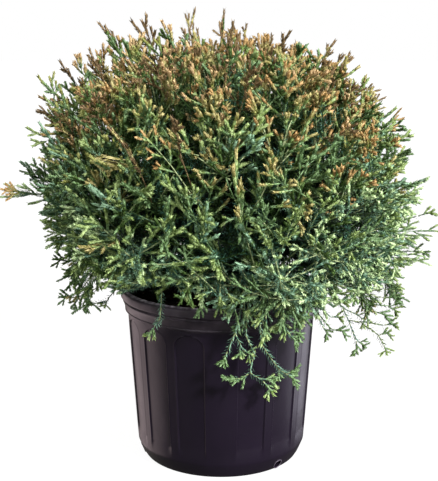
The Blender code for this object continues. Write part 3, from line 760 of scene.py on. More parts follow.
# Pot


def body_radius(z):
    """Radius of the plain tapering body between its foot and the rim band."""
    share = (z - FOOT_BEVEL_HEIGHT) / (POT_HEIGHT - RIM_BAND_HEIGHT - FOOT_BEVEL_HEIGHT)
    return lerp(BODY_FOOT_RADIUS, BODY_TOP_RADIUS, share)


def panel_bearings():
    """Bearings of the pressed panels in degrees, mirrored about the front and the back."""
    offsets = [FIRST_PANEL_DEG + k * PANEL_PITCH_DEG for k in range(PANELS_A_SIDE)]
    return sorted(-90.0 + side * offset for side in (-1.0, 1.0) for offset in offsets)


def pot_columns(width_share):
    """Bearings round the pot in degrees, each with its share of the panels' depth."""
    half = PANEL_HALF_DEG * width_share
    edge = PANEL_EDGE_DEG
    border = [(half + widths * edge, depth) for widths, depth in PANEL_BORDER]
    left = [(-offset, depth) for offset, depth in border]
    inside = [(half * share, 1.0) for share in PANEL_COLUMNS]
    across = [*left, *inside, *reversed(border)]
    bearings = panel_bearings()
    following = [*bearings[1:], bearings[0] + 360.0]
    columns = []
    for bearing, after in zip(bearings, following):
        columns += [(bearing + offset, depth) for offset, depth in across]
        start = bearing + across[-1][0]
        end = after + across[0][0]
        columns += [(lerp(start, end, k / PILLAR_COLUMNS), 0.0) for k in range(1, PILLAR_COLUMNS)]
    return columns


def pot_ring(radius, z, width_share=1.0, depth_share=0.0):
    ring = []
    for bearing_deg, depth in pot_columns(width_share):
        at = radius - PANEL_DEPTH * depth * depth_share
        bearing = math.radians(bearing_deg)
        ring.append((at * math.cos(bearing), at * math.sin(bearing), z))
    return ring


def arc(centre, radius, start_deg, end_deg, steps):
    """Points of a round corner as distance out and height."""
    angles = [math.radians(lerp(start_deg, end_deg, k / steps)) for k in range(steps + 1)]
    return [(centre[0] + radius * math.cos(a), centre[1] + radius * math.sin(a)) for a in angles]


def rim_outline():
    """The rim from the body up: step, band with a bead at each edge, groove, rolled lip, and down inside."""
    top = POT_HEIGHT
    band_foot = top - RIM_BAND_HEIGHT
    foot_out = RIM_RADIUS - BAND_FOOT_IN
    band_out = RIM_RADIUS - BAND_TOP_IN
    lip_inner = RIM_RADIUS - LIP_WIDTH
    outline = [(body_radius(band_foot), band_foot)]
    outline += [(foot_out + out, band_foot + up) for out, up in FOOT_BEAD]
    for share in (0.0, 0.5, 1.0):
        height = lerp(band_foot + BAND_LOW, top - BAND_HIGH, share)
        outline.append((lerp(foot_out, band_out, share), height))
    outline += [(band_out + out, top + up) for out, up in TOP_BEAD]
    for radius, depth, *sweep in RIM_CORNERS:
        outline += arc((RIM_RADIUS - radius, top - depth), radius, *sweep)
    inner = LIP_INNER_ROUND
    outline += arc((lip_inner + inner, top - inner), inner, 90.0, 180.0, 4)
    outline += [(lip_inner + out, top + up) for out, up in LIP_INSIDE]
    outline += [(body_radius(band_foot) - WALL, top - INNER_LEDGE_DEPTH)]
    return outline


def body_rows():
    """Rows of the body: height, and the panels' shares of full width and of full depth."""
    low = [(height, 1.0, depth) for height, depth in BODY_FOOT_ROWS]
    low += [(PANEL_LOW + PANEL_FOOT_SLOPE * share, 1.0, depth) for share, depth in PANEL_FOOT_ROWS]
    first, last = PANEL_LOW + PANEL_FOOT_SLOPE, PANEL_HIGH - ARCH_RISE
    sides = [(lerp(first, last, k / PANEL_ROWS), 1.0, 1.0) for k in range(PANEL_ROWS)]
    arch = []
    for k in range(ARCH_STEPS + 1):
        angle = math.radians(ARCH_LAST_DEG * k / ARCH_STEPS)
        arch.append((PANEL_HIGH - ARCH_RISE * (1.0 - math.sin(angle)), math.cos(angle), 1.0))
    narrow = math.cos(math.radians(ARCH_LAST_DEG))
    close = [(PANEL_HIGH + up, narrow * width, depth) for up, width, depth in PANEL_CLOSE_ROWS]
    return [*low, *sides, *arch, *close]


def drain_cutter(bearing):
    outward = polar(bearing, math.radians(DRAIN_TILT_DEG))
    middle = polar(bearing) * FOOT_RADIUS + UP * DRAIN_HEIGHT
    turn = outward.to_track_quat("Z", "Y").to_matrix().to_4x4()
    bm = bmesh.new()
    bmesh.ops.create_cone(
        bm,
        cap_ends=True,
        segments=DRAIN_SIDES,
        radius1=DRAIN_RADIUS,
        radius2=DRAIN_RADIUS,
        depth=DRAIN_CUT,
        matrix=Matrix.Translation(middle) @ turn,
    )
    mesh = bpy.data.meshes.new("drain_cutter")
    bm.to_mesh(mesh)
    bm.free()
    return bpy.data.objects.new("drain_cutter", mesh)


def outer_radius(z):
    """Radius of the pot's outside at a height in its lowest part."""
    if z > FOOT_BEVEL_HEIGHT:
        return body_radius(z)
    return lerp(FOOT_RADIUS, BODY_FOOT_RADIUS, z / FOOT_BEVEL_HEIGHT)


def drain_lip(bearing):
    """The points of a drain hole's edge on the outside of the pot."""
    outward = polar(bearing, math.radians(DRAIN_TILT_DEG))
    middle = polar(bearing) * FOOT_RADIUS + UP * DRAIN_HEIGHT
    across = sideways_of(outward)
    other = outward.cross(across)
    edge = []
    for k in range(DRAIN_SIDES):
        turn = math.tau * k / DRAIN_SIDES
        inner = middle + (across * math.cos(turn) + other * math.sin(turn)) * DRAIN_RADIUS
        low, high = -0.5 * DRAIN_CUT, 0.5 * DRAIN_CUT
        for _ in range(HALVINGS):
            half = 0.5 * (low + high)
            place = inner + outward * half
            outside = place.z < DRAIN_LIP * 0.5 or math.hypot(place.x, place.y) > outer_radius(place.z)
            low, high = (low, half) if outside else (half, high)
        edge.append(inner + outward * low)
    return edge


def make_drain_lips(material):
    """A slim bead round the edge of each drain hole, coloured light grey as a painted highlight round the
    hole.
    """
    heap = Heap()
    for bearing_deg in DRAIN_BEARINGS_DEG:
        edge = drain_lip(math.radians(bearing_deg))
        path = [tuple(point) for point in [*edge, edge[0]]]
        heap.add(*tube(path, np.full(len(path), DRAIN_LIP), 6))
    lips = show("drain_lips", triangle_mesh("drain_lips", *heap.arrays()), material)
    lips.data.shade_smooth()
    return lips


def make_pot():
    rings = [pot_ring(radius, 0.0) for radius in (*BASE_RADII, FOOT_RADIUS - BASE_EDGE_IN)]
    corner = arc((FOOT_RADIUS - FOOT_ROUND, FOOT_ROUND), FOOT_ROUND, -90.0, FOOT_ROUND_LAST_DEG, 4)
    rings += [pot_ring(radius, z) for radius, z in corner]
    rings += [pot_ring(lerp(FOOT_RADIUS, BODY_FOOT_RADIUS, s), FOOT_BEVEL_HEIGHT * s) for s in FOOT_ROWS]
    rings += [pot_ring(BODY_FOOT_RADIUS - BODY_START_IN, FOOT_BEVEL_HEIGHT)]
    rings += [pot_ring(body_radius(z), z, width, depth) for z, width, depth in body_rows()]
    rings += [pot_ring(radius, z) for radius, z in rim_outline()]
    rings += [pot_ring(body_radius(z) - WALL, z) for z in (*INNER_ROWS, INNER_KNEE_HEIGHT)]
    rings += [pot_ring(FOOT_RADIUS - WALL, FLOOR), pot_ring(INNER_FLOOR_RADIUS, FLOOR)]
    mesh = ring_mesh("pot_shell", rings)
    for bearing_deg in DRAIN_BEARINGS_DEG:
        mesh = cut(mesh, drain_cutter(math.radians(bearing_deg)))
    pot = show("pot_shell", mesh, pot_finish(), smooth_angle=38.0)
    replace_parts(pot, "pot")
    # The drain holes' beads are coloured light grey, a painted highlight round each hole
    painted_highlight = Finish("pot_painted_highlight", roughness=0.5, specular=0.4)
    painted_highlight.colour(painted_highlight.mottle(DRAIN_HIGHLIGHT_TONES, scale=90.0))
    return [pot, make_drain_lips(painted_highlight.material)]


def cut(mesh, cutter):
    """The mesh less a cutter, which is then removed."""
    body = bpy.data.objects.new("cut_body", mesh)
    scene = bpy.context.scene.collection
    scene.objects.link(body)
    scene.objects.link(cutter)
    hole = body.modifiers.new("hole", "BOOLEAN")
    hole.operation = "DIFFERENCE"
    hole.object = cutter
    result = bpy.data.meshes.new_from_object(body.evaluated_get(bpy.context.evaluated_depsgraph_get()))
    bpy.data.objects.remove(body)
    bpy.data.objects.remove(cutter)
    return result


# Potting mix


def mix_height(x, y):
    """Unevenness of the potting mix at a place on its surface."""
    return MIX_LUMP * sum(size * noise.noise(Vector((x, y, z)) * scale) for size, z, scale in MIX_WAVES)


def make_potting_mix(material):
    edge = body_radius(MIX_TOP) - WALL - MIX_SIDE_GAP
    gap = WALL + MIX_SIDE_GAP
    knee = (body_radius(INNER_KNEE_HEIGHT) - gap, INNER_KNEE_HEIGHT)
    rings = []
    for radius, z in ((FOOT_RADIUS - gap, FLOOR + CLEAR), knee):
        rings.append([tuple(polar(math.tau * i / MIX_COLUMNS) * radius + UP * z) for i in range(MIX_COLUMNS)])
    for row in range(MIX_ROWS):
        radius = edge * (1.0 - row / MIX_ROWS)
        ring = []
        for i in range(MIX_COLUMNS):
            place = polar(math.tau * i / MIX_COLUMNS) * radius
            rise = 0.0 if row == 0 else MIX_RISE + mix_height(place.x, place.y)
            ring.append((place.x, place.y, MIX_TOP + rise))
        rings.append(ring)
    mesh = ring_mesh("potting_mix_fill", rings)
    surface = show("potting_mix_fill", mesh, material, smooth_angle=60.0)
    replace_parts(surface, "potting_mix")


CHIP_CORNERS = np.array([(x, y, z) for x in (-0.5, 0.5) for y in (-0.5, 0.5) for z in (-0.5, 0.5)])
CHIP_TRIANGLES = np.array(
    [(0, 1, 3), (0, 3, 2), (4, 6, 7), (4, 7, 5), (0, 4, 5), (0, 5, 1)]
    + [(2, 3, 7), (2, 7, 6), (0, 2, 6), (0, 6, 4), (1, 5, 7), (1, 7, 3)]
)


def make_bark_chips(material):
    """Chips of composted bark lying in the surface of the potting mix."""
    draws = random.Random(SEED + 5)
    heap = Heap()
    edge = body_radius(MIX_TOP) - WALL - MIX_SIDE_GAP
    for _ in range(CHIP_COUNT):
        length = lerp(*CHIP_SIZES, draws.random() ** CHIP_SMALLNESS)
        size = np.array((length, length * draws.uniform(*CHIP_WIDTHS), length * draws.uniform(*CHIP_HEIGHTS)))
        distance = math.sqrt(draws.random()) * (edge - length * CHIP_EDGE_GAP)
        place = polar(draws.uniform(0.0, math.tau)) * distance
        roll = Matrix.Rotation(draws.uniform(-CHIP_TILT, CHIP_TILT), 3, "X")
        pitch = Matrix.Rotation(draws.uniform(-CHIP_TILT, CHIP_TILT), 3, "Y")
        turn = np.array(Matrix.Rotation(draws.uniform(0.0, math.tau), 3, "Z") @ (roll @ pitch))
        ragged = np.array([[draws.uniform(*CHIP_RAGGED) for _ in range(3)] for _ in range(8)])
        points = (CHIP_CORNERS * ragged * size) @ turn.T
        height = MIX_TOP + MIX_RISE + mix_height(place.x, place.y) + size[2] * CHIP_PROUD
        heap.add(points + np.array((place.x, place.y, height)), CHIP_TRIANGLES)
    show("bark_chips", triangle_mesh("bark_chips", *heap.arrays()), material)


# Shape of the crown


def crown_reach(direction):
    """Distance from the heart to the outline of the crown in a direction."""
    flat = math.hypot(direction.x, direction.y) / CROWN_RADIUS
    tall = abs(direction.z) / (CROWN_RISE if direction.z > 0.0 else CROWN_DROP)
    reach = (flat**SQUARENESS + tall**SQUARENESS) ** (-1.0 / SQUARENESS)
    bearing = math.atan2(direction.y, direction.x)
    waves = sum(a * math.sin(n * bearing + phase + drift * direction.z) for a, n, phase, drift in LUMP_WAVES)
    low_right = direction.x * (LOW_SINE - direction.z)
    return reach * (1.0 + LUMPINESS * waves + RIGHT_BIAS * low_right)


def spread(index, count, lowest_sine):
    """One of count directions shared out evenly above a lowest elevation."""
    height = lerp(lowest_sine, 1.0, (index + 0.5) / count)
    return polar(GOLDEN_ANGLE * index, math.asin(height))


MASS_DIRECTIONS = [spread(k, MASS_COUNT, LOWEST_MASS_SINE) for k in range(MASS_COUNT)]


def owner(direction):
    """The mass whose cell holds a direction from the heart."""
    return max(range(MASS_COUNT), key=lambda k: direction.dot(MASS_DIRECTIONS[k]))


def in_cell(point, mass, margin):
    """True where a point lies in a mass's cell, clear of the planes it shares with its neighbours."""
    away = point - HEART
    here = MASS_DIRECTIONS[mass]
    for other, there in enumerate(MASS_DIRECTIONS):
        if other != mass and away.dot((here - there).normalized()) < margin:
            return False
    return True


def core_point(direction, share):
    """A point inside the crown, kept above the pot's rim by shortening its distance from the heart."""
    distance = crown_reach(direction) * share
    if direction.z < 0.0:
        distance = min(distance, (HEART_HEIGHT - CORE_FLOOR) / -direction.z)
    return HEART + direction * distance


# Trunk and boughs


def trunk_point(share):
    """A point on the trunk's slightly swaying centreline."""
    foot = Vector((0.0, 0.0, MIX_TOP + CLEAR))
    top = MASS_DIRECTIONS[-1]
    tip = HEART + top * (crown_reach(top) * STEM_SHARE - CLEAR)
    bend = foot.lerp(Vector((0.0, 0.0, tip.z)), share).lerp(foot.lerp(tip, share), share)
    sway = math.sin(math.pi * share) * math.sin(math.tau * share) * TRUNK_SWAY
    return bend + Vector((sway, SWAY_ASIDE * sway, 0.0))


def stem_foot(mass):
    """Where a mass's twigs begin, at the tip of its bough."""
    direction = MASS_DIRECTIONS[mass]
    return HEART + direction * crown_reach(direction) * STEM_SHARE


def bough_point(mass, share):
    """A point on a bough's centreline: out of the trunk, then turning to face its mass."""
    root = trunk_point(lerp(*BOUGH_SHARES, mass / (MASS_COUNT - 1.0)))
    tip = stem_foot(mass) - MASS_DIRECTIONS[mass] * CLEAR
    knee = tip - MASS_DIRECTIONS[mass] * (tip - root).length * BOUGH_TURN
    return root.lerp(knee, share).lerp(knee.lerp(tip, share), share)


def bark_relief(turn, along, seed):
    """Height of the bark's stringy ridges at an angle round a limb and a distance along it."""
    around = (math.cos(turn), math.sin(turn))
    strings = Vector((around[0] * STRING_TURN, around[1] * STRING_TURN, along * STRING_RUN + seed))
    ridge = 1.0 - 2.0 * abs(noise.noise(strings))
    knots = noise.noise(Vector((*around, along * KNOT_RUN + seed * 3.0)))
    return RIDGE_SHARE * ridge + KNOT_SHARE * knots


def limb_rings(point_at, radius_at, grid, seed):
    columns, rows = grid
    rings = []
    travelled = 0.0
    last = point_at(0.0)
    for row in range(rows + 1):
        share = row / rows
        centre = point_at(share)
        travelled += (centre - last).length
        last = centre
        ahead = point_at(min(1.0, share + LIMB_STEP)) - point_at(max(0.0, share - LIMB_STEP))
        ahead = ahead.normalized()
        across = sideways_of(ahead)
        if abs(ahead.z) > STEEP:
            across = (Vector((1.0, 0.0, 0.0)) - ahead * ahead.x).normalized()
        other = ahead.cross(across)
        ring = []
        for i in range(columns):
            turn = math.tau * i / columns
            relief = bark_relief(turn, travelled, seed) - RELIEF_MEAN
            radius = radius_at(share, turn) * (1.0 + BARK_RIDGE * relief)
            ring.append(tuple(centre + (across * math.cos(turn) + other * math.sin(turn)) * radius))
        rings.append(ring)
    return rings


def trunk_radius(share, turn):
    height = (trunk_point(share) - trunk_point(0.0)).z
    flare = FLARE_RADIUS * math.exp(-height / FLARE_HEIGHT)
    lobe = 1.0 + FLARE_LOBE_DEPTH * math.cos(FLARE_LOBES * turn)
    return lerp(TRUNK_RADIUS, TRUNK_TIP_RADIUS, share) + flare * lobe


def make_limbs(material):
    trunk = ring_mesh("trunk_bark", limb_rings(trunk_point, trunk_radius, TRUNK_GRID, seed=1.7))
    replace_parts(show("trunk_bark", trunk, material, BARK_SMOOTH_DEG), "trunk")
    for mass in range(MASS_COUNT - 1):
        name = f"bough_{mass + 1:02d}"
        rings = limb_rings(
            lambda share: bough_point(mass, share),
            lambda share, turn: lerp(BOUGH_ROOT_RADIUS, BOUGH_TIP_RADIUS, share),
            BOUGH_GRID,
            seed=5.1 * (mass + 1),
        )
        bark = ring_mesh(f"{name}_bark", rings)
        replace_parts(show(f"{name}_bark", bark, material, BARK_SMOOTH_DEG), name)


# Forms of sprays. Each is made once along +Z and then bent onto many curves.

PARTS = ("stem", "needle", "cord", "neck", "tip")
NEEDLE_HALF_WIDTH = 0.10
BRUSH_HALF_WIDTH = 0.15
NEEDLE_LEANS = (0.70, 1.10)
# The leaves on the three parts of a cord: gap, length, how far they lean out, half width over length
CORD_LEAVES = (0.0026, 0.0060, (0.40, 0.72), 0.18)
NECK_LEAVES = (0.0021, 0.0057, (0.32, 0.60), 0.21)
TIP_LEAVES = (0.0018, 0.0051, (0.24, 0.50), 0.24)
LEAF_ROOT_SHARE = 0.60
# A leaf: its turn round the stem, its length, its widest place, how far that sags and how far out it starts
LEAF_TURN = 0.4
LEAF_LENGTHS = (0.75, 1.15)
BELLY_SHARE = 0.36
BELLY_SAG = 0.0002
LEAF_OUT = 0.0005
STEM_RING_GAP = 0.025
RUNNER_TAPER = 0.9
# Thicknesses of a cord's parts at foot and end, as shares of the spray's own
CORD_SHARES = (0.66, 0.90)
NECK_SHARES = (0.90, 1.0)
TIP_SHARES = (1.0, 0.95)
FORK_FOOT_SHARES = (0.70, 0.90)
FORK_TIP_SHARES = (0.90, 0.90)
BLUNT_END = 0.9
STEM_TAPER = 0.8
TIP_LENGTH = 0.0080
NECK_LENGTH = 0.0085
CORD_LENGTH = 0.0095
LIMB_LIFT = 0.12
LIMB_SWAY = 0.10
FORK_SPREAD = 0.22
FORK_LENGTHS = (0.0095, 0.0140)
FORK_NECK_SHARE = 0.42
FORK_ANGLES = (0.50, 0.85)
FORK_SPOTS = (0.0, 0.7)
FORK_END = 0.94
FORK_AHEAD = 0.10
# Side shoots of a flat spray
LATERAL_STRAY = 0.35
LATERAL_ANGLES = (0.56, 0.86)
LATERAL_REACHES = (0.85, 1.15)
LATERAL_THICKNESSES = (0.88, 1.05)
LATERAL_GAP = 1.1
LATERAL_NEEDLE = 0.9
LATERAL_STEM = 0.8
# Side shoots of a brush
BRUSH_STEM = (0.0013, 0.0008)
BRUSH_SPAN = (0.10, 0.80)
BRUSH_TURN = 2.4
BRUSH_ANGLES = (0.6, 1.0)
BRUSH_REACHES = (0.050, 0.024)
BRUSH_SIDE_STEM = (0.0009, 0.0006)
BRUSH_SIDE_NEEDLE = 0.95
JOINT_OVERLAP = 0.0006


def axis_point(z):
    return np.array((0.0, 0.0, z))


class Form:
    """A spray in its own space: x and y across it in metres, z the share of its length."""

    def __init__(self, seed, length, plume_share=1.0):
        self.draws = random.Random(SEED * 77 + seed)
        self.length = length
        self.plume_share = plume_share
        self.tip_length = TIP_LENGTH * plume_share
        self.neck_length = NECK_LENGTH * plume_share
        self.cord_length = CORD_LENGTH * plume_share
        self.heaps = {part: Heap() for part in PARTS}

    def stem(self, start, end, thick, thin):
        rings = 2 + int(np.linalg.norm(end - start) / STEM_RING_GAP)
        shares = np.linspace(0.0, 1.0, rings)
        path = [lerp(start, end, share) for share in shares]
        self.heaps["stem"].add(*tube(path, lerp(thick, thin, shares), 3))

    def blades(self, part, start, end, gap, size, leans, half_width=NEEDLE_HALF_WIDTH, root_out=LEAF_OUT):
        """Awl-shaped leaves in crossed pairs along a stem, leaning forward."""
        along = end - start
        distance = np.linalg.norm(along)
        along = along / distance
        guide = np.array(LEAF_GUIDES[abs(along[1]) >= ALONG_GUIDE])
        across = np.cross(along, guide)
        across /= np.linalg.norm(across)
        other = np.cross(along, across)
        for k in range(int(distance / gap)):
            turn = 0.5 * math.pi * k + self.draws.uniform(-LEAF_TURN, LEAF_TURN)
            for side in (0.0, math.pi):
                lean = self.draws.uniform(*leans)
                out = across * math.cos(turn + side) + other * math.sin(turn + side)
                flank = np.cross(along, out)
                heading = along * math.cos(lean) + out * math.sin(lean)
                root = start + along * gap * (k + self.draws.uniform(*EVEN_SPOTS)) + out * root_out
                reach = size * self.draws.uniform(*LEAF_LENGTHS)
                belly = root + heading * reach * BELLY_SHARE - np.cross(flank, heading) * BELLY_SAG
                width = flank * size * half_width
                points = np.array((root, belly + width, root + heading * reach, belly - width))
                self.heaps[part].add(points, np.array(((0, 1, 2), (0, 2, 3))))

    def plume(self, part, start, end, thickness, shares, leaves):
        """A stretch of cord: a slim core, blunt at a tip, under scale leaves that stand a little off it."""
        thick, thin = (thickness * share for share in shares)
        beyond = thickness * BLUNT_END if part == "tip" else None
        self.heaps[part].add(*tube([start, end], (thick, thin), 3, beyond))
        self.blades(part, start, end, *leaves, root_out=thick * LEAF_ROOT_SHARE)

    def limb(self, start, heading, reach, thickness, gap, needle, stem, flank=None):
        """A needled shoot that ends in a slim cord of scale leaves, forked if flank is given."""
        heading = heading / np.linalg.norm(heading)
        rise = axis_point(1.0) - heading * heading[2]
        sway = np.array([self.draws.uniform(-LIMB_SWAY, LIMB_SWAY) for _ in range(3)])

        def at(from_end):
            share = 1.0 - from_end / reach
            return start + heading * reach * share + (rise * LIMB_LIFT + sway) * reach * share * share

        neck_start = min(reach, self.tip_length + self.neck_length)
        cord_start = min(reach, neck_start + self.cord_length)
        if reach > cord_start:
            self.stem(at(reach), at(cord_start - JOINT_OVERLAP), stem, stem * STEM_TAPER)
            self.blades("needle", at(reach), at(cord_start), gap, needle, NEEDLE_LEANS)
        if cord_start > neck_start + JOINT_OVERLAP:
            self.plume("cord", at(cord_start), at(neck_start), thickness, CORD_SHARES, CORD_LEAVES)
        neck_foot = at(min(reach, neck_start + JOINT_OVERLAP))
        self.plume("neck", neck_foot, at(self.tip_length), thickness, NECK_SHARES, NECK_LEAVES)
        tip_foot = at(self.tip_length + JOINT_OVERLAP)
        end = at(0.0) if flank is None else at(0.0) - flank * self.tip_length * FORK_SPREAD
        self.plume("tip", tip_foot, end, thickness, TIP_SHARES, TIP_LEAVES)
        if flank is not None:
            angle = self.draws.uniform(*FORK_ANGLES)
            out = heading * math.cos(angle) + flank * math.sin(angle)
            fork = self.draws.uniform(*FORK_LENGTHS) * self.plume_share
            root = at(self.tip_length + self.neck_length * self.draws.uniform(*FORK_SPOTS))
            joint = root + out * fork * FORK_NECK_SHARE
            end = root + out * fork * FORK_END + heading * fork * FORK_AHEAD
            self.plume("neck", root, joint, thickness, FORK_FOOT_SHARES, NECK_LEAVES)
            self.plume("tip", joint, end, thickness, FORK_TIP_SHARES, TIP_LEAVES)

    def finished(self):
        """The form's parts as arrays, with z as the share of its length."""
        parts = {}
        for part, heap in self.heaps.items():
            if heap.count:
                points, triangles = heap.arrays()
                points = points.copy()
                points[:, 2] /= self.length
                parts[part] = (points, triangles)
        return parts


def spray_form(seed, spray):
    """A flat spray: a needled shoot with side shoots by turns left and right."""
    form = Form(seed, spray.length, spray.plume_share)
    draws = form.draws
    turn = draws.uniform(0.0, math.tau) if spray.turn is None else spray.turn
    plane = np.array((math.cos(turn), math.sin(turn), 0.0))
    square = np.array((-plane[1], plane[0], 0.0))
    flank = plane * draws.choice((-1.0, 1.0))
    leader = (spray.length, spray.thickness, spray.gap, spray.needle, spray.stem)
    form.limb(axis_point(0.0), axis_point(1.0), *leader, flank)
    for k in range(spray.laterals):
        share = lerp(*spray.span, (k + draws.uniform(*EVEN_SPOTS)) / spray.laterals)
        out = plane * (-1.0) ** k + square * draws.uniform(-LATERAL_STRAY, LATERAL_STRAY)
        out /= np.linalg.norm(out)
        angle = draws.uniform(*LATERAL_ANGLES)
        heading = axis_point(math.cos(angle)) + out * math.sin(angle)
        flank = (out * math.cos(angle) - axis_point(math.sin(angle))) * draws.choice((-1.0, 1.0))
        reach = lerp(*spray.reaches, share) * draws.uniform(*LATERAL_REACHES)
        thick = spray.thickness * draws.uniform(*LATERAL_THICKNESSES)
        forked = flank if draws.random() < spray.forks else None
        fine = (spray.gap * LATERAL_GAP, spray.needle * LATERAL_NEEDLE, spray.stem * LATERAL_STEM)
        form.limb(axis_point(spray.length * share), heading, reach, thick, *fine, forked)
    return form.finished()


def brush_form(seed, length, laterals, gap, needle, half_width):
    """A shaded inner spray of long needles with no cords."""
    form = Form(seed, length)
    draws = form.draws
    form.stem(axis_point(0.0), axis_point(length), *BRUSH_STEM)
    form.blades("needle", axis_point(0.0), axis_point(length), gap, needle, NEEDLE_LEANS, half_width)
    plane = draws.uniform(0.0, math.tau)
    for k in range(laterals):
        share = lerp(*BRUSH_SPAN, (k + 0.5) / laterals)
        turn = plane + BRUSH_TURN * k
        angle = draws.uniform(*BRUSH_ANGLES)
        across = np.array((math.cos(turn), math.sin(turn), 0.0))
        heading = axis_point(math.cos(angle)) + across * math.sin(angle)
        start = axis_point(length * share)
        end = start + heading * lerp(*BRUSH_REACHES, share) * draws.uniform(*LENGTH_STRAY)
        form.stem(start, end, *BRUSH_SIDE_STEM)
        side_leaves = (gap * LATERAL_GAP, needle * BRUSH_SIDE_NEEDLE)
        form.blades("needle", start, end, *side_leaves, NEEDLE_LEANS, half_width)
    return form.finished()


def runner_form(seed, length, gap, needle, stem):
    """A needled stretch of stem with no cords."""
    form = Form(seed, length)
    form.stem(axis_point(0.0), axis_point(length), stem, stem * RUNNER_TAPER)
    form.blades("needle", axis_point(0.0), axis_point(length), gap, needle, NEEDLE_LEANS)
    return form.finished()


Spray = namedtuple("Spray", "length laterals span reaches thickness plume_share gap needle forks stem turn")
SPRAYS = {
    "crown": Spray(0.098, 4, (0.22, 0.86), (0.044, 0.026), 0.00208, 1.08, 0.0028, 0.0062, 0.65, 0.0011, None),
    "skirt": Spray(0.104, 3, (0.24, 0.84), (0.054, 0.032), 0.00176, 0.96, 0.0023, 0.0074, 0.70, 0.0013, None),
    "wisp": Spray(0.090, 4, (0.34, 0.80), (0.030, 0.018), 0.00120, 0.92, 0.0034, 0.0040, 0.75, 0.0008, None),
    "trail": Spray(0.046, 2, (0.24, 0.84), (0.028, 0.020), 0.00135, 0.75, 0.0024, 0.0076, 0.50, 0.0009, 0.0),
    "fan": Spray(FAN_LENGTH, 2, (0.16, 0.76), (0.016, 0.012), 0.0015, 0.78, 0.0024, 0.0068, 0.45, 0.001, 0.0),
    "fringe": Spray(0.082, 3, (0.24, 0.84), (0.042, 0.026), 0.00160, 0.88, 0.0023, 0.0070, 0.70, 0.0011, 0.0),
}


# Length, side shoots, gap between needles, their length and their half width over length
BRUSHES = {
    "inner": (0.090, 5, 0.0036, 0.0095, BRUSH_HALF_WIDTH),
    "brush": (0.090, 5, 0.0030, 0.0078, NEEDLE_HALF_WIDTH),
}
# Length, gap between needles, their length, stem
RUNNERS = {"runner": (RUNNER_LENGTH, 0.0024, 0.0062, 0.0011), "joint": (JOINT_LENGTH, 0.0024, 0.0084, 0.0009)}


def make_forms():
    forms = {}
    for number, (kind, spray) in enumerate(SPRAYS.items()):
        for k in range(FORMS_A_KIND):
            forms[kind, k] = spray_form(100 * number + k, spray)
    for k in range(FORMS_A_KIND):
        for seed, (kind, brush) in zip((1000, 1100), BRUSHES.items()):
            forms[kind, k] = brush_form(seed + k, *brush)
        for seed, (kind, runner) in zip((1200, 1300), RUNNERS.items()):
            forms[kind, k] = runner_form(seed + k, *runner)
    return forms


# Growth

Sprig = namedtuple("Sprig", "kind start bend end tones side hangs", defaults=(None, False))


def dealt(deal, height, draws):
    """One of a deal's tones, drawn by how often each comes at a height in the crown."""
    tones = list(deal)
    weights = [float(np.interp(height, TONE_HEIGHTS, deal[tone])) for tone in tones]
    return draws.choices(tones, weights)[0]


def spray_tones(direction, draws):
    height = direction.z - RIGHT_COOL * max(0.0, direction.x) + draws.uniform(-TONE_STRAY, TONE_STRAY)
    tip = dealt(TIP_DEAL, height, draws)
    # Painted light: low on the sides the tips are dealt pale or lime and the needles frost
    if height < PALE_BELOW and draws.random() < PALE_CHANCE * abs(direction.x):
        light = "pale" if draws.random() < (PALE_RIGHT if direction.x > 0.0 else PALE_LEFT) else "lime"
        return {**chain(light, height, draws), "needle": "frost"}
    if tip in ("gold", "lime") and height > OLIVE_ABOVE and draws.random() < -OLIVE_CHANCE * direction.x:
        tip = "olive"
    return chain(tip, height, draws)


def chain(tip, height, draws):
    """The tones of a spray's parts behind a given tip."""
    neck, cord = CHAIN_TONES[tip]
    return {
        "tip": tip,
        "neck": draws.choice(neck.split()),
        "cord": draws.choice(cord.split()),
        "needle": dealt(NEEDLE_DEAL, height, draws),
        "stem": dealt(STEM_DEAL, height, draws),
    }


def slim_tones(tones, height, draws):
    """The tones of a slim shoot that stands out of the crown: mostly bronze higher up, a painted shade that
    darkens the shoots on the crown's outline.
    """
    if draws.random() < (height - SLIM_GREEN_BELOW) * SLIM_BRONZE_RISE:
        return {**chain("bronze", height, draws), "stem": "bronze"}
    return tones


# Painted shade: near-black and dark tones for the needles and stems of sprays and runners inside the crown
def inner_tones(draws):
    needle = draws.choice(("deep", "deep", "shade", "shade", "spruce"))
    return {"needle": needle, "stem": "shade"}


# Painted shade: dark tones for the brushes under the crown's surface, darkest low down
def brush_tones(height, draws):
    low = ("shade", "shade", "shade", "spruce")
    needle = draws.choice(low if height < BRUSH_COOL_BELOW else ("deep", "deep", "moss", "spruce"))
    return {"needle": needle, "stem": "deep"}


def root_point(mass, direction):
    """Where a leading shoot turns outward in its mass, drawn in towards the mass's middle."""
    middle = core_point(MASS_DIRECTIONS[mass], SHOOT_ROOT_SHARE)
    return core_point(direction, SHOOT_ROOT_SHARE).lerp(middle, ROOT_GATHER)


def shoot_draws(index):
    """Direction and tip share of one leading shoot, from its own seeded draws."""
    draws = random.Random(SEED * 1000 + index)
    nudge = Vector((draws.uniform(-1.0, 1.0), draws.uniform(-1.0, 1.0), draws.uniform(-1.0, 1.0)))
    direction = (spread(index, SHOOT_COUNT, LOWEST_SHOOT_SINE) + nudge * SHOOT_SCATTER).normalized()
    return direction, draws.uniform(*SHOOT_TIP_SHARES)


def shoot_tip(mass, direction, distance):
    """The tip of a leading shoot, swung in towards its mass's middle as far as its cell asks."""
    middle = MASS_DIRECTIONS[mass]
    tip = HEART + direction * distance
    while not in_cell(tip, mass, TIP_MARGIN):
        direction = direction.lerp(middle, TIP_SWING).normalized()
        tip = HEART + direction * distance
    return tip


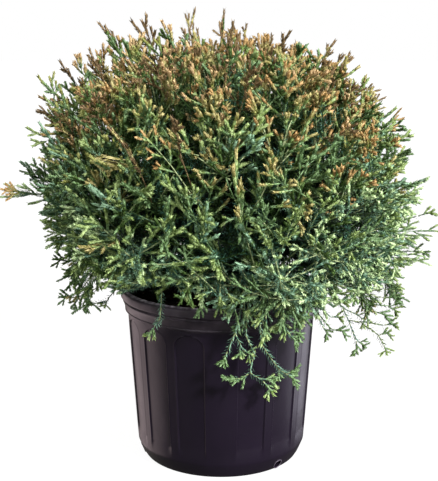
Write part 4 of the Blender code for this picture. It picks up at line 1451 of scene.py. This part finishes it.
def underside(points):
    """The height of the crown's underside at each of many places."""
    bearing = np.degrees(np.arctan2(points[..., 1], points[..., 0]))
    beyond = np.maximum(np.hypot(points[..., 0], points[..., 1]) - RIM_RADIUS, 0.0)
    height = np.interp(bearing, SKIRT_BEARINGS, SKIRT_HEIGHTS)
    waves = sum(size * np.sin(np.radians(bearing) * count + phase) for size, count, phase in SKIRT_WAVES)
    return height + waves + np.interp(bearing, SKIRT_BEARINGS, SKIRT_RISES) * beyond


def raised(start, bend, end):
    """A leading shoot's curve, raised towards its tip as far as the crown's underside asks."""
    shares = np.linspace(RAISED_FROM, 1.0, 7)
    points = np.array([tuple(bezier(start, bend, end, float(share))) for share in shares])
    short = float(((underside(points) + SHOOT_FLOOR_MARGIN - points[:, 2]) / shares).max())
    lift = UP * max(0.0, short)
    return start, bend + lift * 0.5, end + lift


def leading_shoots():
    """Each leading shoot as its mass and the three points of its curve, from its bough's tip outward."""
    wanted = []
    for index in range(SHOOT_COUNT):
        direction, share = shoot_draws(index)
        wanted.append((direction, crown_reach(direction) * share))
    for bearing_deg, elevation_deg, distance in FAR_SPRIGS:
        wanted.append((polar(math.radians(bearing_deg), math.radians(elevation_deg)), distance))
    shoots = []
    for direction, distance in wanted:
        mass = owner(direction)
        tip = shoot_tip(mass, direction, distance)
        bend = root_point(mass, direction) - UP * LEADER_SWEEP * direction.z
        shoots.append((mass, *raised(stem_foot(mass), bend, tip)))
    return shoots


def part_of_curve(start, bend, end, low, high):
    """The stretch of a curve between two shares of it, as three points of its own."""
    first = bezier(start, bend, end, low)
    last = bezier(start, bend, end, high)
    slope = (lerp(bend, end, low) - lerp(start, bend, low)) * (high - low)
    return first, first + slope, last


def heading_at(direction, draws):
    """The way a spray points at its tip: up and outward by its height in the crown, with some stray."""
    outward = Vector((direction.x, direction.y, 0.0)).normalized()
    side = Vector((-outward.y, outward.x, 0.0))
    up = float(np.interp(direction.z, SWEEP_HEIGHTS, UP_SWEEP)) + draws.uniform(-OUT_STRAY, OUT_STRAY)
    out = float(np.interp(direction.z, SWEEP_HEIGHTS, OUT_SWEEP)) + draws.uniform(-OUT_STRAY, OUT_STRAY)
    out *= lerp(OUT_AT_FRONT, OUT_AT_SIDE, abs(direction.x))
    return (outward * out + UP * up + side * draws.gauss(0.0, SIDE_STRAY)).normalized()


def nearest(point, places):
    return Vector(places[np.argmin(((places - np.array(point)) ** 2).sum(axis=1))])


def runners(start, end, tones, side=None, hangs=False):
    """A straight needled stem as one or more runners of about their own length."""
    pieces = max(1, round((end - start).length / RUNNER_LENGTH))
    ends = [start.lerp(end, k / pieces) for k in range(pieces + 1)]
    spans = zip(ends, ends[1:])
    return [Sprig("runner", low, low.lerp(high, 0.5), high, tones, side, hangs) for low, high in spans]


def fine_spray(kind, tip, length, places, tones, draws):
    """A spray that grows from the nearest leading shoot, by runners where that is far."""
    heading = heading_at((tip - HEART).normalized(), draws)
    away = np.linalg.norm(places - np.array(tip), axis=1)
    start = nearest(tip - heading * length, places[away > SHORTEST_SPRAY * length])
    bend = tip - heading * (tip - start).length * 0.5
    reach = (tip - start).length
    if reach < LONGEST_SPRAY * length:
        return [Sprig(kind, start, bend, tip, tones)]
    foot = bezier(start, bend, tip, 1.0 - length / reach)
    rest = part_of_curve(start, bend, tip, 1.0 - length / reach, 1.0)
    return [*runners(start, foot, inner_tones(draws)), Sprig(kind, *rest, tones)]


def placed_shoot(points, side, places, tones, draws):
    """A needled shoot through placed points, with fans of cords at its end and by turns along it."""
    sprigs = []
    carrier = nearest(points[0], places)
    if (carrier - points[0]).length > JOINT_LENGTH * LEAST_GAP:
        sprigs += runners(carrier, points[0], inner_tones(draws), side, True)
    sign = draws.choice((-1.0, 1.0))
    for number, (start, end) in enumerate(zip(points, points[1:])):
        ahead = (end - start).normalized()
        joint = end
        if number == len(points) - 2:
            joint = end - ahead * min(FAN_LENGTH, FAN_MOST_SHARE * (end - start).length)
            sprigs.append(Sprig("fan", joint, joint.lerp(end, 0.5), end, tones, side, True))
        pieces = max(1, round((joint - start).length / JOINT_LENGTH))
        for k in range(pieces):
            low, high = start.lerp(joint, k / pieces), start.lerp(joint, (k + 1) / pieces)
            if (high - low).length > JOINT_LENGTH * LEAST_JOINT:
                sprigs.append(Sprig("joint", low, low.lerp(high, 0.5), high, tones, side, True))
            if k < pieces - 1 and draws.random() < SIDE_FAN_CHANCE:
                sign = -sign
                length = FAN_LENGTH * draws.uniform(*SIDE_FAN_LENGTHS)
                out = (ahead + side * sign * draws.uniform(*SIDE_FAN_ASIDE)).normalized() * length
                sprigs.append(Sprig("fan", high, high + out * 0.5, high + out, tones, side, True))
    return sprigs


def fringe_sprigs(places):
    """Sprays that hang down over the front of the rim."""
    sprigs = []
    for index in range(FRINGE_COUNT):
        draws = random.Random(SEED * 13000 + index)
        bearing_deg = lerp(FRINGE_BEARINGS[0], FRINGE_BEARINGS[-1], (index + draws.random()) / FRINGE_COUNT)
        outward = polar(math.radians(bearing_deg))
        lowest = float(np.interp(bearing_deg, FRINGE_BEARINGS, FRINGE_LOWEST))
        height = lerp(lowest, FRINGE_HIGHEST, draws.random() ** FRINGE_POWER)
        side = sideways_of(outward)
        bend = outward * draws.uniform(*FRINGE_BEND_RADII) + UP * draws.uniform(*FRINGE_BEND_HEIGHTS)
        end = outward * draws.uniform(*FRINGE_END_RADII) + side * draws.gauss(0.0, FRINGE_SWING) + UP * height
        start = nearest(bend + UP * FRINGE_RISE - outward * FRINGE_BACK, places)
        needle = draws.choice(("spruce", "spruce", "moss", "frost"))
        tones = {**HANG_TONES, "tip": draws.choice(("lime", "leaf", "mint")), "needle": needle}
        sprigs.append(Sprig("fringe", start, bend, end, tones, side, True))
    return sprigs


def placed_sprigs(places):
    """The shoots down the pot's front and out of the crown's sides, each from the nearest one before it."""
    paths = []
    for shoot in FRONT_SHOOTS:
        passed = zip(shoot[::2], shoot[1::2])
        points = [polar(math.radians(bearing)) * HANG_RADIUS + UP * (up / 1000.0) for bearing, up in passed]
        paths.append((points, HANG_TONES))
    for depth, *shoot in SIDE_SHOOTS:
        passed = zip(shoot[::2], shoot[1::2])
        points = [Vector((across / 1000.0, depth / 1000.0, up / 1000.0)) for across, up in passed]
        paths.append((points, None))
    sprigs = []
    for number, (points, tones) in enumerate(paths):
        draws = random.Random(SEED * 11000 + number)
        flank = sideways_of(points[-1] - HEART) if tones else UP
        if tones:
            tones = {**tones, "tip": draws.choice(("lime", "leaf"))}
        else:
            tips = ("rust", "gold") if points[-1].z > HEART_HEIGHT else ("moss", "leaf", "lime")
            tones = chain(draws.choice(tips), SIDE_TONE_HEIGHT, draws)
        ahead = (points[-1] - points[0]).normalized()
        flank = (flank - ahead * flank.dot(ahead)).normalized()
        sprigs += placed_shoot(points, flank, places, tones, draws)
        for low, high in zip(points, points[1:]):
            places = np.concatenate((places, [tuple(low.lerp(high, k / 4.0)) for k in range(5)]))
    return sprigs


def trail_curve(trail):
    """The three points of a shoot that trails out of the crown, over the rim and down."""
    bearing_deg, crossing, tip_radius, tip_height, swing = trail
    outward = polar(math.radians(bearing_deg))
    crest = outward * crossing * TRAIL_CREST_SHARE + Vector((0.0, 0.0, TRAIL_CREST_HEIGHT))
    toward_crest = (crest - HEART).normalized()
    root = root_point(owner(toward_crest), toward_crest)
    tip = outward * tip_radius + sideways_of(outward) * swing + Vector((0.0, 0.0, tip_height))
    return root, crest, tip


def trail_sprigs(trail, draws):
    """A trailing shoot: a needled stem with short drooping side sprays and one at its tip."""
    curve = trail_curve(trail)
    side = sideways_of(polar(math.radians(trail[0])))
    outward = polar(math.radians(trail[0]))
    tones = HANG_TONES
    sprigs = []
    for low, high in zip(TRAIL_JOINTS, TRAIL_JOINTS[1:]):
        sprigs.append(Sprig("runner", *part_of_curve(*curve, low, high), tones, None, True))
    sprigs.append(Sprig("trail", *part_of_curve(*curve, TRAIL_END_FROM, 1.0), tones, None, True))
    for k in range(TRAIL_SIDE_COUNT):
        share = lerp(*TRAIL_SIDE_SPAN, (k + draws.uniform(*EVEN_SPOTS)) / TRAIL_SIDE_COUNT)
        start = bezier(*curve, share)
        ahead = (bezier(*curve, min(1.0, share + TRAIL_STEP)) - start).normalized()
        sign = 1.0 if k % 2 else -1.0
        length = lerp(*TRAIL_SIDE_LENGTHS, share) * draws.uniform(*LENGTH_STRAY)
        heading = ahead + side * sign * draws.uniform(*TRAIL_SIDEWAYS)
        heading = (heading + outward * draws.uniform(*TRAIL_OUTWARD)).normalized()
        bend = start + heading * length * 0.5
        end = start + (heading + ahead * TRAIL_AHEAD - UP * TRAIL_DROOP).normalized() * length
        tip_tone = draws.choices(list(TRAIL_TIPS), TRAIL_TIPS.values())[0]
        sprigs.append(Sprig("trail", start, bend, end, {**tones, "tip": tip_tone}, None, True))
    return sprigs


def scattered(index, count, lowest_sine, scatter, draws):
    """An evenly dealt direction with a little scatter."""
    nudge = Vector([draws.uniform(-1.0, 1.0) for _ in range(3)])
    return (spread(index, count, lowest_sine) + nudge * scatter).normalized()


def kind_at(height, draws):
    return "crown" if height > draws.uniform(*SKIRT_ENDS) else "skirt"


def grow():
    """Every sprig of the plant, and the curves of the twigs that carry them."""
    shoots = leading_shoots()
    sprigs = []
    for number, (mass, start, bend, end) in enumerate(shoots):
        draws = random.Random(SEED * 3000 + number)
        direction = (end - HEART).normalized()
        height = direction.z
        tones = spray_tones(direction, draws)
        kind = kind_at(height, draws)
        if (end - HEART).length > crown_reach(direction) * SLIM_FROM_SHARE:
            kind = "wisp"
            tones = slim_tones(tones, height, draws)
        bare, leafy = LEADER_SPANS
        sprigs.append(Sprig(kind, *part_of_curve(start, bend, end, leafy, 1.0), tones))
        sprigs.append(Sprig("runner", *part_of_curve(start, bend, end, bare, leafy), inner_tones(draws)))
    shares = np.linspace(*CARRIER_SPAN, CARRIER_PLACES)
    places = np.array([tuple(bezier(*shoot[1:], float(share))) for shoot in shoots for share in shares])
    for index in range(FINE_COUNT):
        draws = random.Random(SEED * 5000 + index)
        direction = scattered(index, FINE_COUNT, LOWEST_FINE_SINE, FINE_SCATTER, draws)
        if direction.z < 0.0 and draws.random() < LOW_SKIP * (1.0 - abs(direction.x)):
            continue
        stray = draws.random() < STRAY_CHANCE and direction.x * direction.z < STRAY_LIMIT
        share = draws.uniform(*(STRAY_SHARES if stray else FINE_TIP_SHARES))
        low = min(1.0, max(0.0, SHRINK_BELOW - direction.z) / SHRINK_DEPTH)
        share -= LOW_SHRINK * low * (0.5 - 0.5 * direction.x)
        tip = HEART + direction * crown_reach(direction) * share
        kind = kind_at(direction.z, draws)
        tones = spray_tones(direction, draws)
        if stray:
            kind = "wisp"
            tones = slim_tones(tones, direction.z, draws)
        sprigs += fine_spray(kind, tip, draws.uniform(*FINE_LENGTHS), places, tones, draws)
    # Brushes inside the crown, dealt dark tones as painted shade
    for index in range(INNER_COUNT):
        draws = random.Random(SEED * 7000 + index)
        direction = scattered(index, INNER_COUNT, LOWEST_FINE_SINE + BRUSH_RISE, BRUSH_SCATTER, draws)
        kind, span, tones = "inner", INNER_BRUSH_SHARES, inner_tones(draws)
        if index % 2:
            kind, span, tones = "brush", OUTER_BRUSH_SHARES, brush_tones(direction.z, draws)
        if direction.z < LOW_BRUSH_BELOW:
            span = LOW_BRUSH_SHARES
        tip = core_point(direction, draws.uniform(*span))
        sprigs += fine_spray(kind, tip, draws.uniform(*FINE_LENGTHS), places, tones, draws)
    for number, trail in enumerate(TRAILS):
        sprigs += trail_sprigs(trail, random.Random(SEED * 9000 + number))
    return shoots, sprigs + fringe_sprigs(places) + placed_sprigs(places)


def bent(points, starts, bends, ends, sides):
    """A form's points bent onto each of many curves, as sprigs by points by coordinates."""
    share = np.clip(points[:, 2], 0.0, 1.0)[None, :, None]
    past = points[:, 2][None, :, None] - share
    starts, bends, ends = starts[:, None], bends[:, None], ends[:, None]
    slope = 2.0 * lerp(bends - starts, ends - bends, share)
    centre = bezier(starts, bends, ends, share) + slope * past
    ahead = slope / np.linalg.norm(slope, axis=2, keepdims=True)
    across = sides[:, None] - ahead * (sides[:, None] * ahead).sum(axis=2, keepdims=True)
    across /= np.linalg.norm(across, axis=2, keepdims=True)
    other = np.cross(ahead, across)
    return centre + across * points[:, 0][None, :, None] + other * points[:, 1][None, :, None]


def clear_of_pot(points):
    """True for each sprig none of whose points lies in the pot's wall or under its rim."""
    distance = np.hypot(points[..., 0], points[..., 1])
    hit = (distance < RIM_RADIUS + POT_CLEARANCE) & (points[..., 2] < POT_HEIGHT + POT_CLEARANCE)
    return ~hit.any(axis=1)


def pull_needed(points, shares):
    """How far each sprig's tip has to come in so that no point stands far outside the solids' box."""
    low, high = (np.array(corner) for corner in CAD_BOX)
    over = np.maximum(points - high - MOST_PROUD, 0.0) - np.maximum(low - MOST_PROUD - points, 0.0)
    over = over / np.maximum(shares, LEAST_SHARE)[:, None]
    return over.max(axis=1) + over.min(axis=1)


def lift_needed(points, shares):
    """How far each sprig's tip has to rise so that none of its points hangs below the crown's underside."""
    return ((underside(points) - points[..., 2]) / np.maximum(shares, LEAST_SHARE)).max(axis=1)


def plant(sprigs):
    """Bends a form onto every sprig and gathers the parts by part and tone."""
    forms = make_forms()
    heaps = {}
    groups = {}
    for number, sprig in enumerate(sprigs):
        groups.setdefault((sprig.kind, number % FORMS_A_KIND), []).append(sprig)
    for key in sorted(groups):
        members = groups[key]
        draws = np.random.default_rng(SEED + len(members))
        curves = [np.array([tuple(getattr(s, name)) for s in members]) for name in ("start", "bend", "end")]
        rolls = draws.normal(size=(len(members), 3))
        for index, sprig in enumerate(members):
            if sprig.side is not None:
                rolls[index] = sprig.side
        placed = {part: bent(points, *curves, rolls) for part, (points, _) in forms[key].items()}
        shares = {part: np.clip(points[:, 2], 0.0, 1.0) for part, (points, _) in forms[key].items()}
        lift = np.max([lift_needed(points, shares[part]) for part, points in placed.items()], axis=0)
        lift -= draws.uniform(0.0, SKIRT_SLACK, len(members))
        lift = np.where([sprig.hangs for sprig in members], 0.0, np.maximum(lift, 0.0))
        keep = lift < MOST_LIFT
        for part, points in placed.items():
            points[..., 2] += lift[:, None] * shares[part]
        pulls = np.array([pull_needed(points, shares[part]) for part, points in placed.items()])
        pull = pulls.max(axis=0) + np.minimum(pulls.min(axis=0), 0.0) * (pulls.max(axis=0) <= 0.0)
        for part, points in placed.items():
            points -= pull[:, None] * shares[part][None, :, None]
            keep &= clear_of_pot(points)
        for part, points in placed.items():
            triangles = forms[key][part][1]
            for index in np.flatnonzero(keep):
                tone = members[index].tones[part]
                heaps.setdefault((part, tone), Heap()).add(points[index], triangles)
    return heaps


def make_twigs(shoots, material):
    """Woody twigs that carry on from each bough's tip to the leading shoots."""
    heap = Heap()
    root_radius = BOUGH_TIP_RADIUS * TWIG_ROOT_SHARE
    for _, start, bend, end in shoots:
        shares = np.linspace(0.0, 0.5, 6)
        path = [tuple(bezier(start, bend, end, float(share))) for share in shares]
        heap.add(*tube(path, lerp(root_radius, TWIG_TIP_RADIUS, shares * 2.0), 5))
    for trail in TRAILS:
        root, crest, tip = trail_curve(trail)
        mass = owner((root - HEART).normalized())
        shares = np.linspace(0.0, 1.0, 5)
        inward = [tuple(lerp(stem_foot(mass), root, float(share))) for share in shares]
        heap.add(*tube(inward, lerp(root_radius, TRAIL_TWIG_RADII[0], shares), 5))
        outward = [tuple(bezier(root, crest, tip, float(share))) for share in np.linspace(0.0, 0.5, 6)]
        heap.add(*tube(outward, np.full(6, TRAIL_TWIG_RADII[1]), 5))
    twigs = show("twigs", triangle_mesh("twigs", *heap.arrays()), material)
    twigs.data.shade_smooth()


def make_foliage(heaps):
    finishes = {}
    for (part, tone), heap in sorted(heaps.items()):
        if tone not in finishes:
            finishes[tone] = foliage_finish(tone)
        points, triangles = heap.arrays()
        blocks = max(1, math.ceil(len(triangles) / PIECE_LIMIT))
        for block in range(blocks):
            name = f"{part}s_{tone}" + (f"_{block + 1}" if blocks > 1 else "")
            used, local = np.unique(np.array_split(triangles, blocks)[block], return_inverse=True)
            mesh = triangle_mesh(name, points[used], local.reshape(-1, 3))
            piece = show(name, mesh, finishes[tone])
            if part != "needle":
                mesh.shade_smooth()
            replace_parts(piece, *(f"foliage_{mass + 1:02d}" for mass in range(MASS_COUNT)))


# Studio


def make_floor():
    bpy.ops.mesh.primitive_plane_add(size=FLOOR_SIZE, location=(0.0, 0.0, -FLOOR_DROP))
    floor = bpy.context.object
    floor.name = "studio_floor"
    finish = Finish("studio_floor", roughness=0.9, specular=0.0)
    finish.colour(finish.ramp(finish.noise(scale=2.0), FLOOR_TONES))
    finish.shader.inputs["Emission Color"].default_value = (1.0, 1.0, 1.0, 1.0)
    finish.shader.inputs["Emission Strength"].default_value = FLOOR_GLOW
    floor.data.materials.append(finish.material)
    floor.visible_diffuse = False
    floor.visible_glossy = False


def make_world():
    """White behind the plant, and a softer white that lights it from above more than from its sides."""
    world = bpy.data.worlds.new("studio")
    world.use_nodes = True
    tree = world.node_tree
    seen = tree.nodes["Background"]
    seen.inputs["Color"].default_value = (1.0, 1.0, 1.0, 1.0)
    fill = tree.nodes.new("ShaderNodeBackground")
    fill.inputs["Color"].default_value = FILL_COLOUR
    way = tree.nodes.new("ShaderNodeSeparateXYZ")
    rise = tree.nodes.new("ShaderNodeMapRange")
    rise.inputs["From Min"].default_value = FILL_FROM
    rise.inputs["To Min"].default_value = LOW_FILL
    rise.inputs["To Max"].default_value = HIGH_FILL
    mix = tree.nodes.new("ShaderNodeMixShader")
    tree.links.new(tree.nodes.new("ShaderNodeTexCoord").outputs["Generated"], way.inputs["Vector"])
    tree.links.new(way.outputs["Z"], rise.inputs["Value"])
    tree.links.new(rise.outputs["Result"], fill.inputs["Strength"])
    tree.links.new(tree.nodes.new("ShaderNodeLightPath").outputs["Is Camera Ray"], mix.inputs["Fac"])
    tree.links.new(fill.outputs["Background"], mix.inputs[1])
    tree.links.new(seen.outputs["Background"], mix.inputs[2])
    tree.links.new(mix.outputs["Shader"], tree.nodes["World Output"].inputs["Surface"])
    bpy.context.scene.world = world


def aim(obj, place, target):
    obj.location = place
    obj.rotation_euler = (Vector(target) - Vector(place)).to_track_quat("-Z", "Y").to_euler()
    bpy.context.scene.collection.objects.link(obj)


def make_sun(name, place, strength, softness_deg, colour, gloss):
    light = bpy.data.lights.new(name, "SUN")
    light.energy = strength
    light.angle = math.radians(softness_deg)
    light.color = colour
    sun = bpy.data.objects.new(name, light)
    sun.visible_glossy = gloss
    aim(sun, place, LIGHT_AIM)


def make_strip(name, place, size, power, colour, pot_pieces):
    """A panel beside the pot that shows only in its gloss."""
    light = bpy.data.lights.new(name, "AREA")
    light.shape = "RECTANGLE"
    light.size, light.size_y = size
    light.energy = power
    light.color = colour
    strip = bpy.data.objects.new(name, light)
    strip.visible_camera = False
    strip.visible_diffuse = False
    strip.light_linking.receiver_collection = pot_pieces
    aim(strip, place, (0.0, 0.0, place[2] if place[2] < POT_HEIGHT else POT_HEIGHT))


def make_lights(pot_pieces):
    lit = bpy.data.collections.new("pot_gloss")
    for piece in pot_pieces:
        lit.objects.link(piece)
    for name, sun in SUNS.items():
        make_sun(name, *sun)
    for name, strip in STRIPS.items():
        make_strip(name, *strip, lit)


def make_camera():
    data = bpy.data.cameras.new("camera")
    data.sensor_fit = "VERTICAL"
    data.sensor_height = SENSOR_MM
    data.lens = SENSOR_MM * FOCAL_PX / FRAME_HEIGHT_PX
    data.clip_start, data.clip_end = CAMERA_CLIP
    camera = bpy.data.objects.new("camera", data)
    camera.location = CAMERA_PLACE
    camera.rotation_euler = (math.radians(90.0 - CAMERA_PITCH_DEG), 0.0, 0.0)
    bpy.context.scene.collection.objects.link(camera)
    bpy.context.scene.camera = camera


def main():
    bpy.context.scene.view_settings.view_transform = "Standard"
    make_camera()
    make_world()
    make_floor()
    make_lights(make_pot())
    mix = mix_finish()
    make_potting_mix(mix)
    make_bark_chips(mix)
    make_limbs(bark_finish("bark", BARK_TONES))
    shoots, sprigs = grow()
    make_twigs(shoots, bark_finish("twig_bark", TWIG_TONES))
    make_foliage(plant(sprigs))


main()
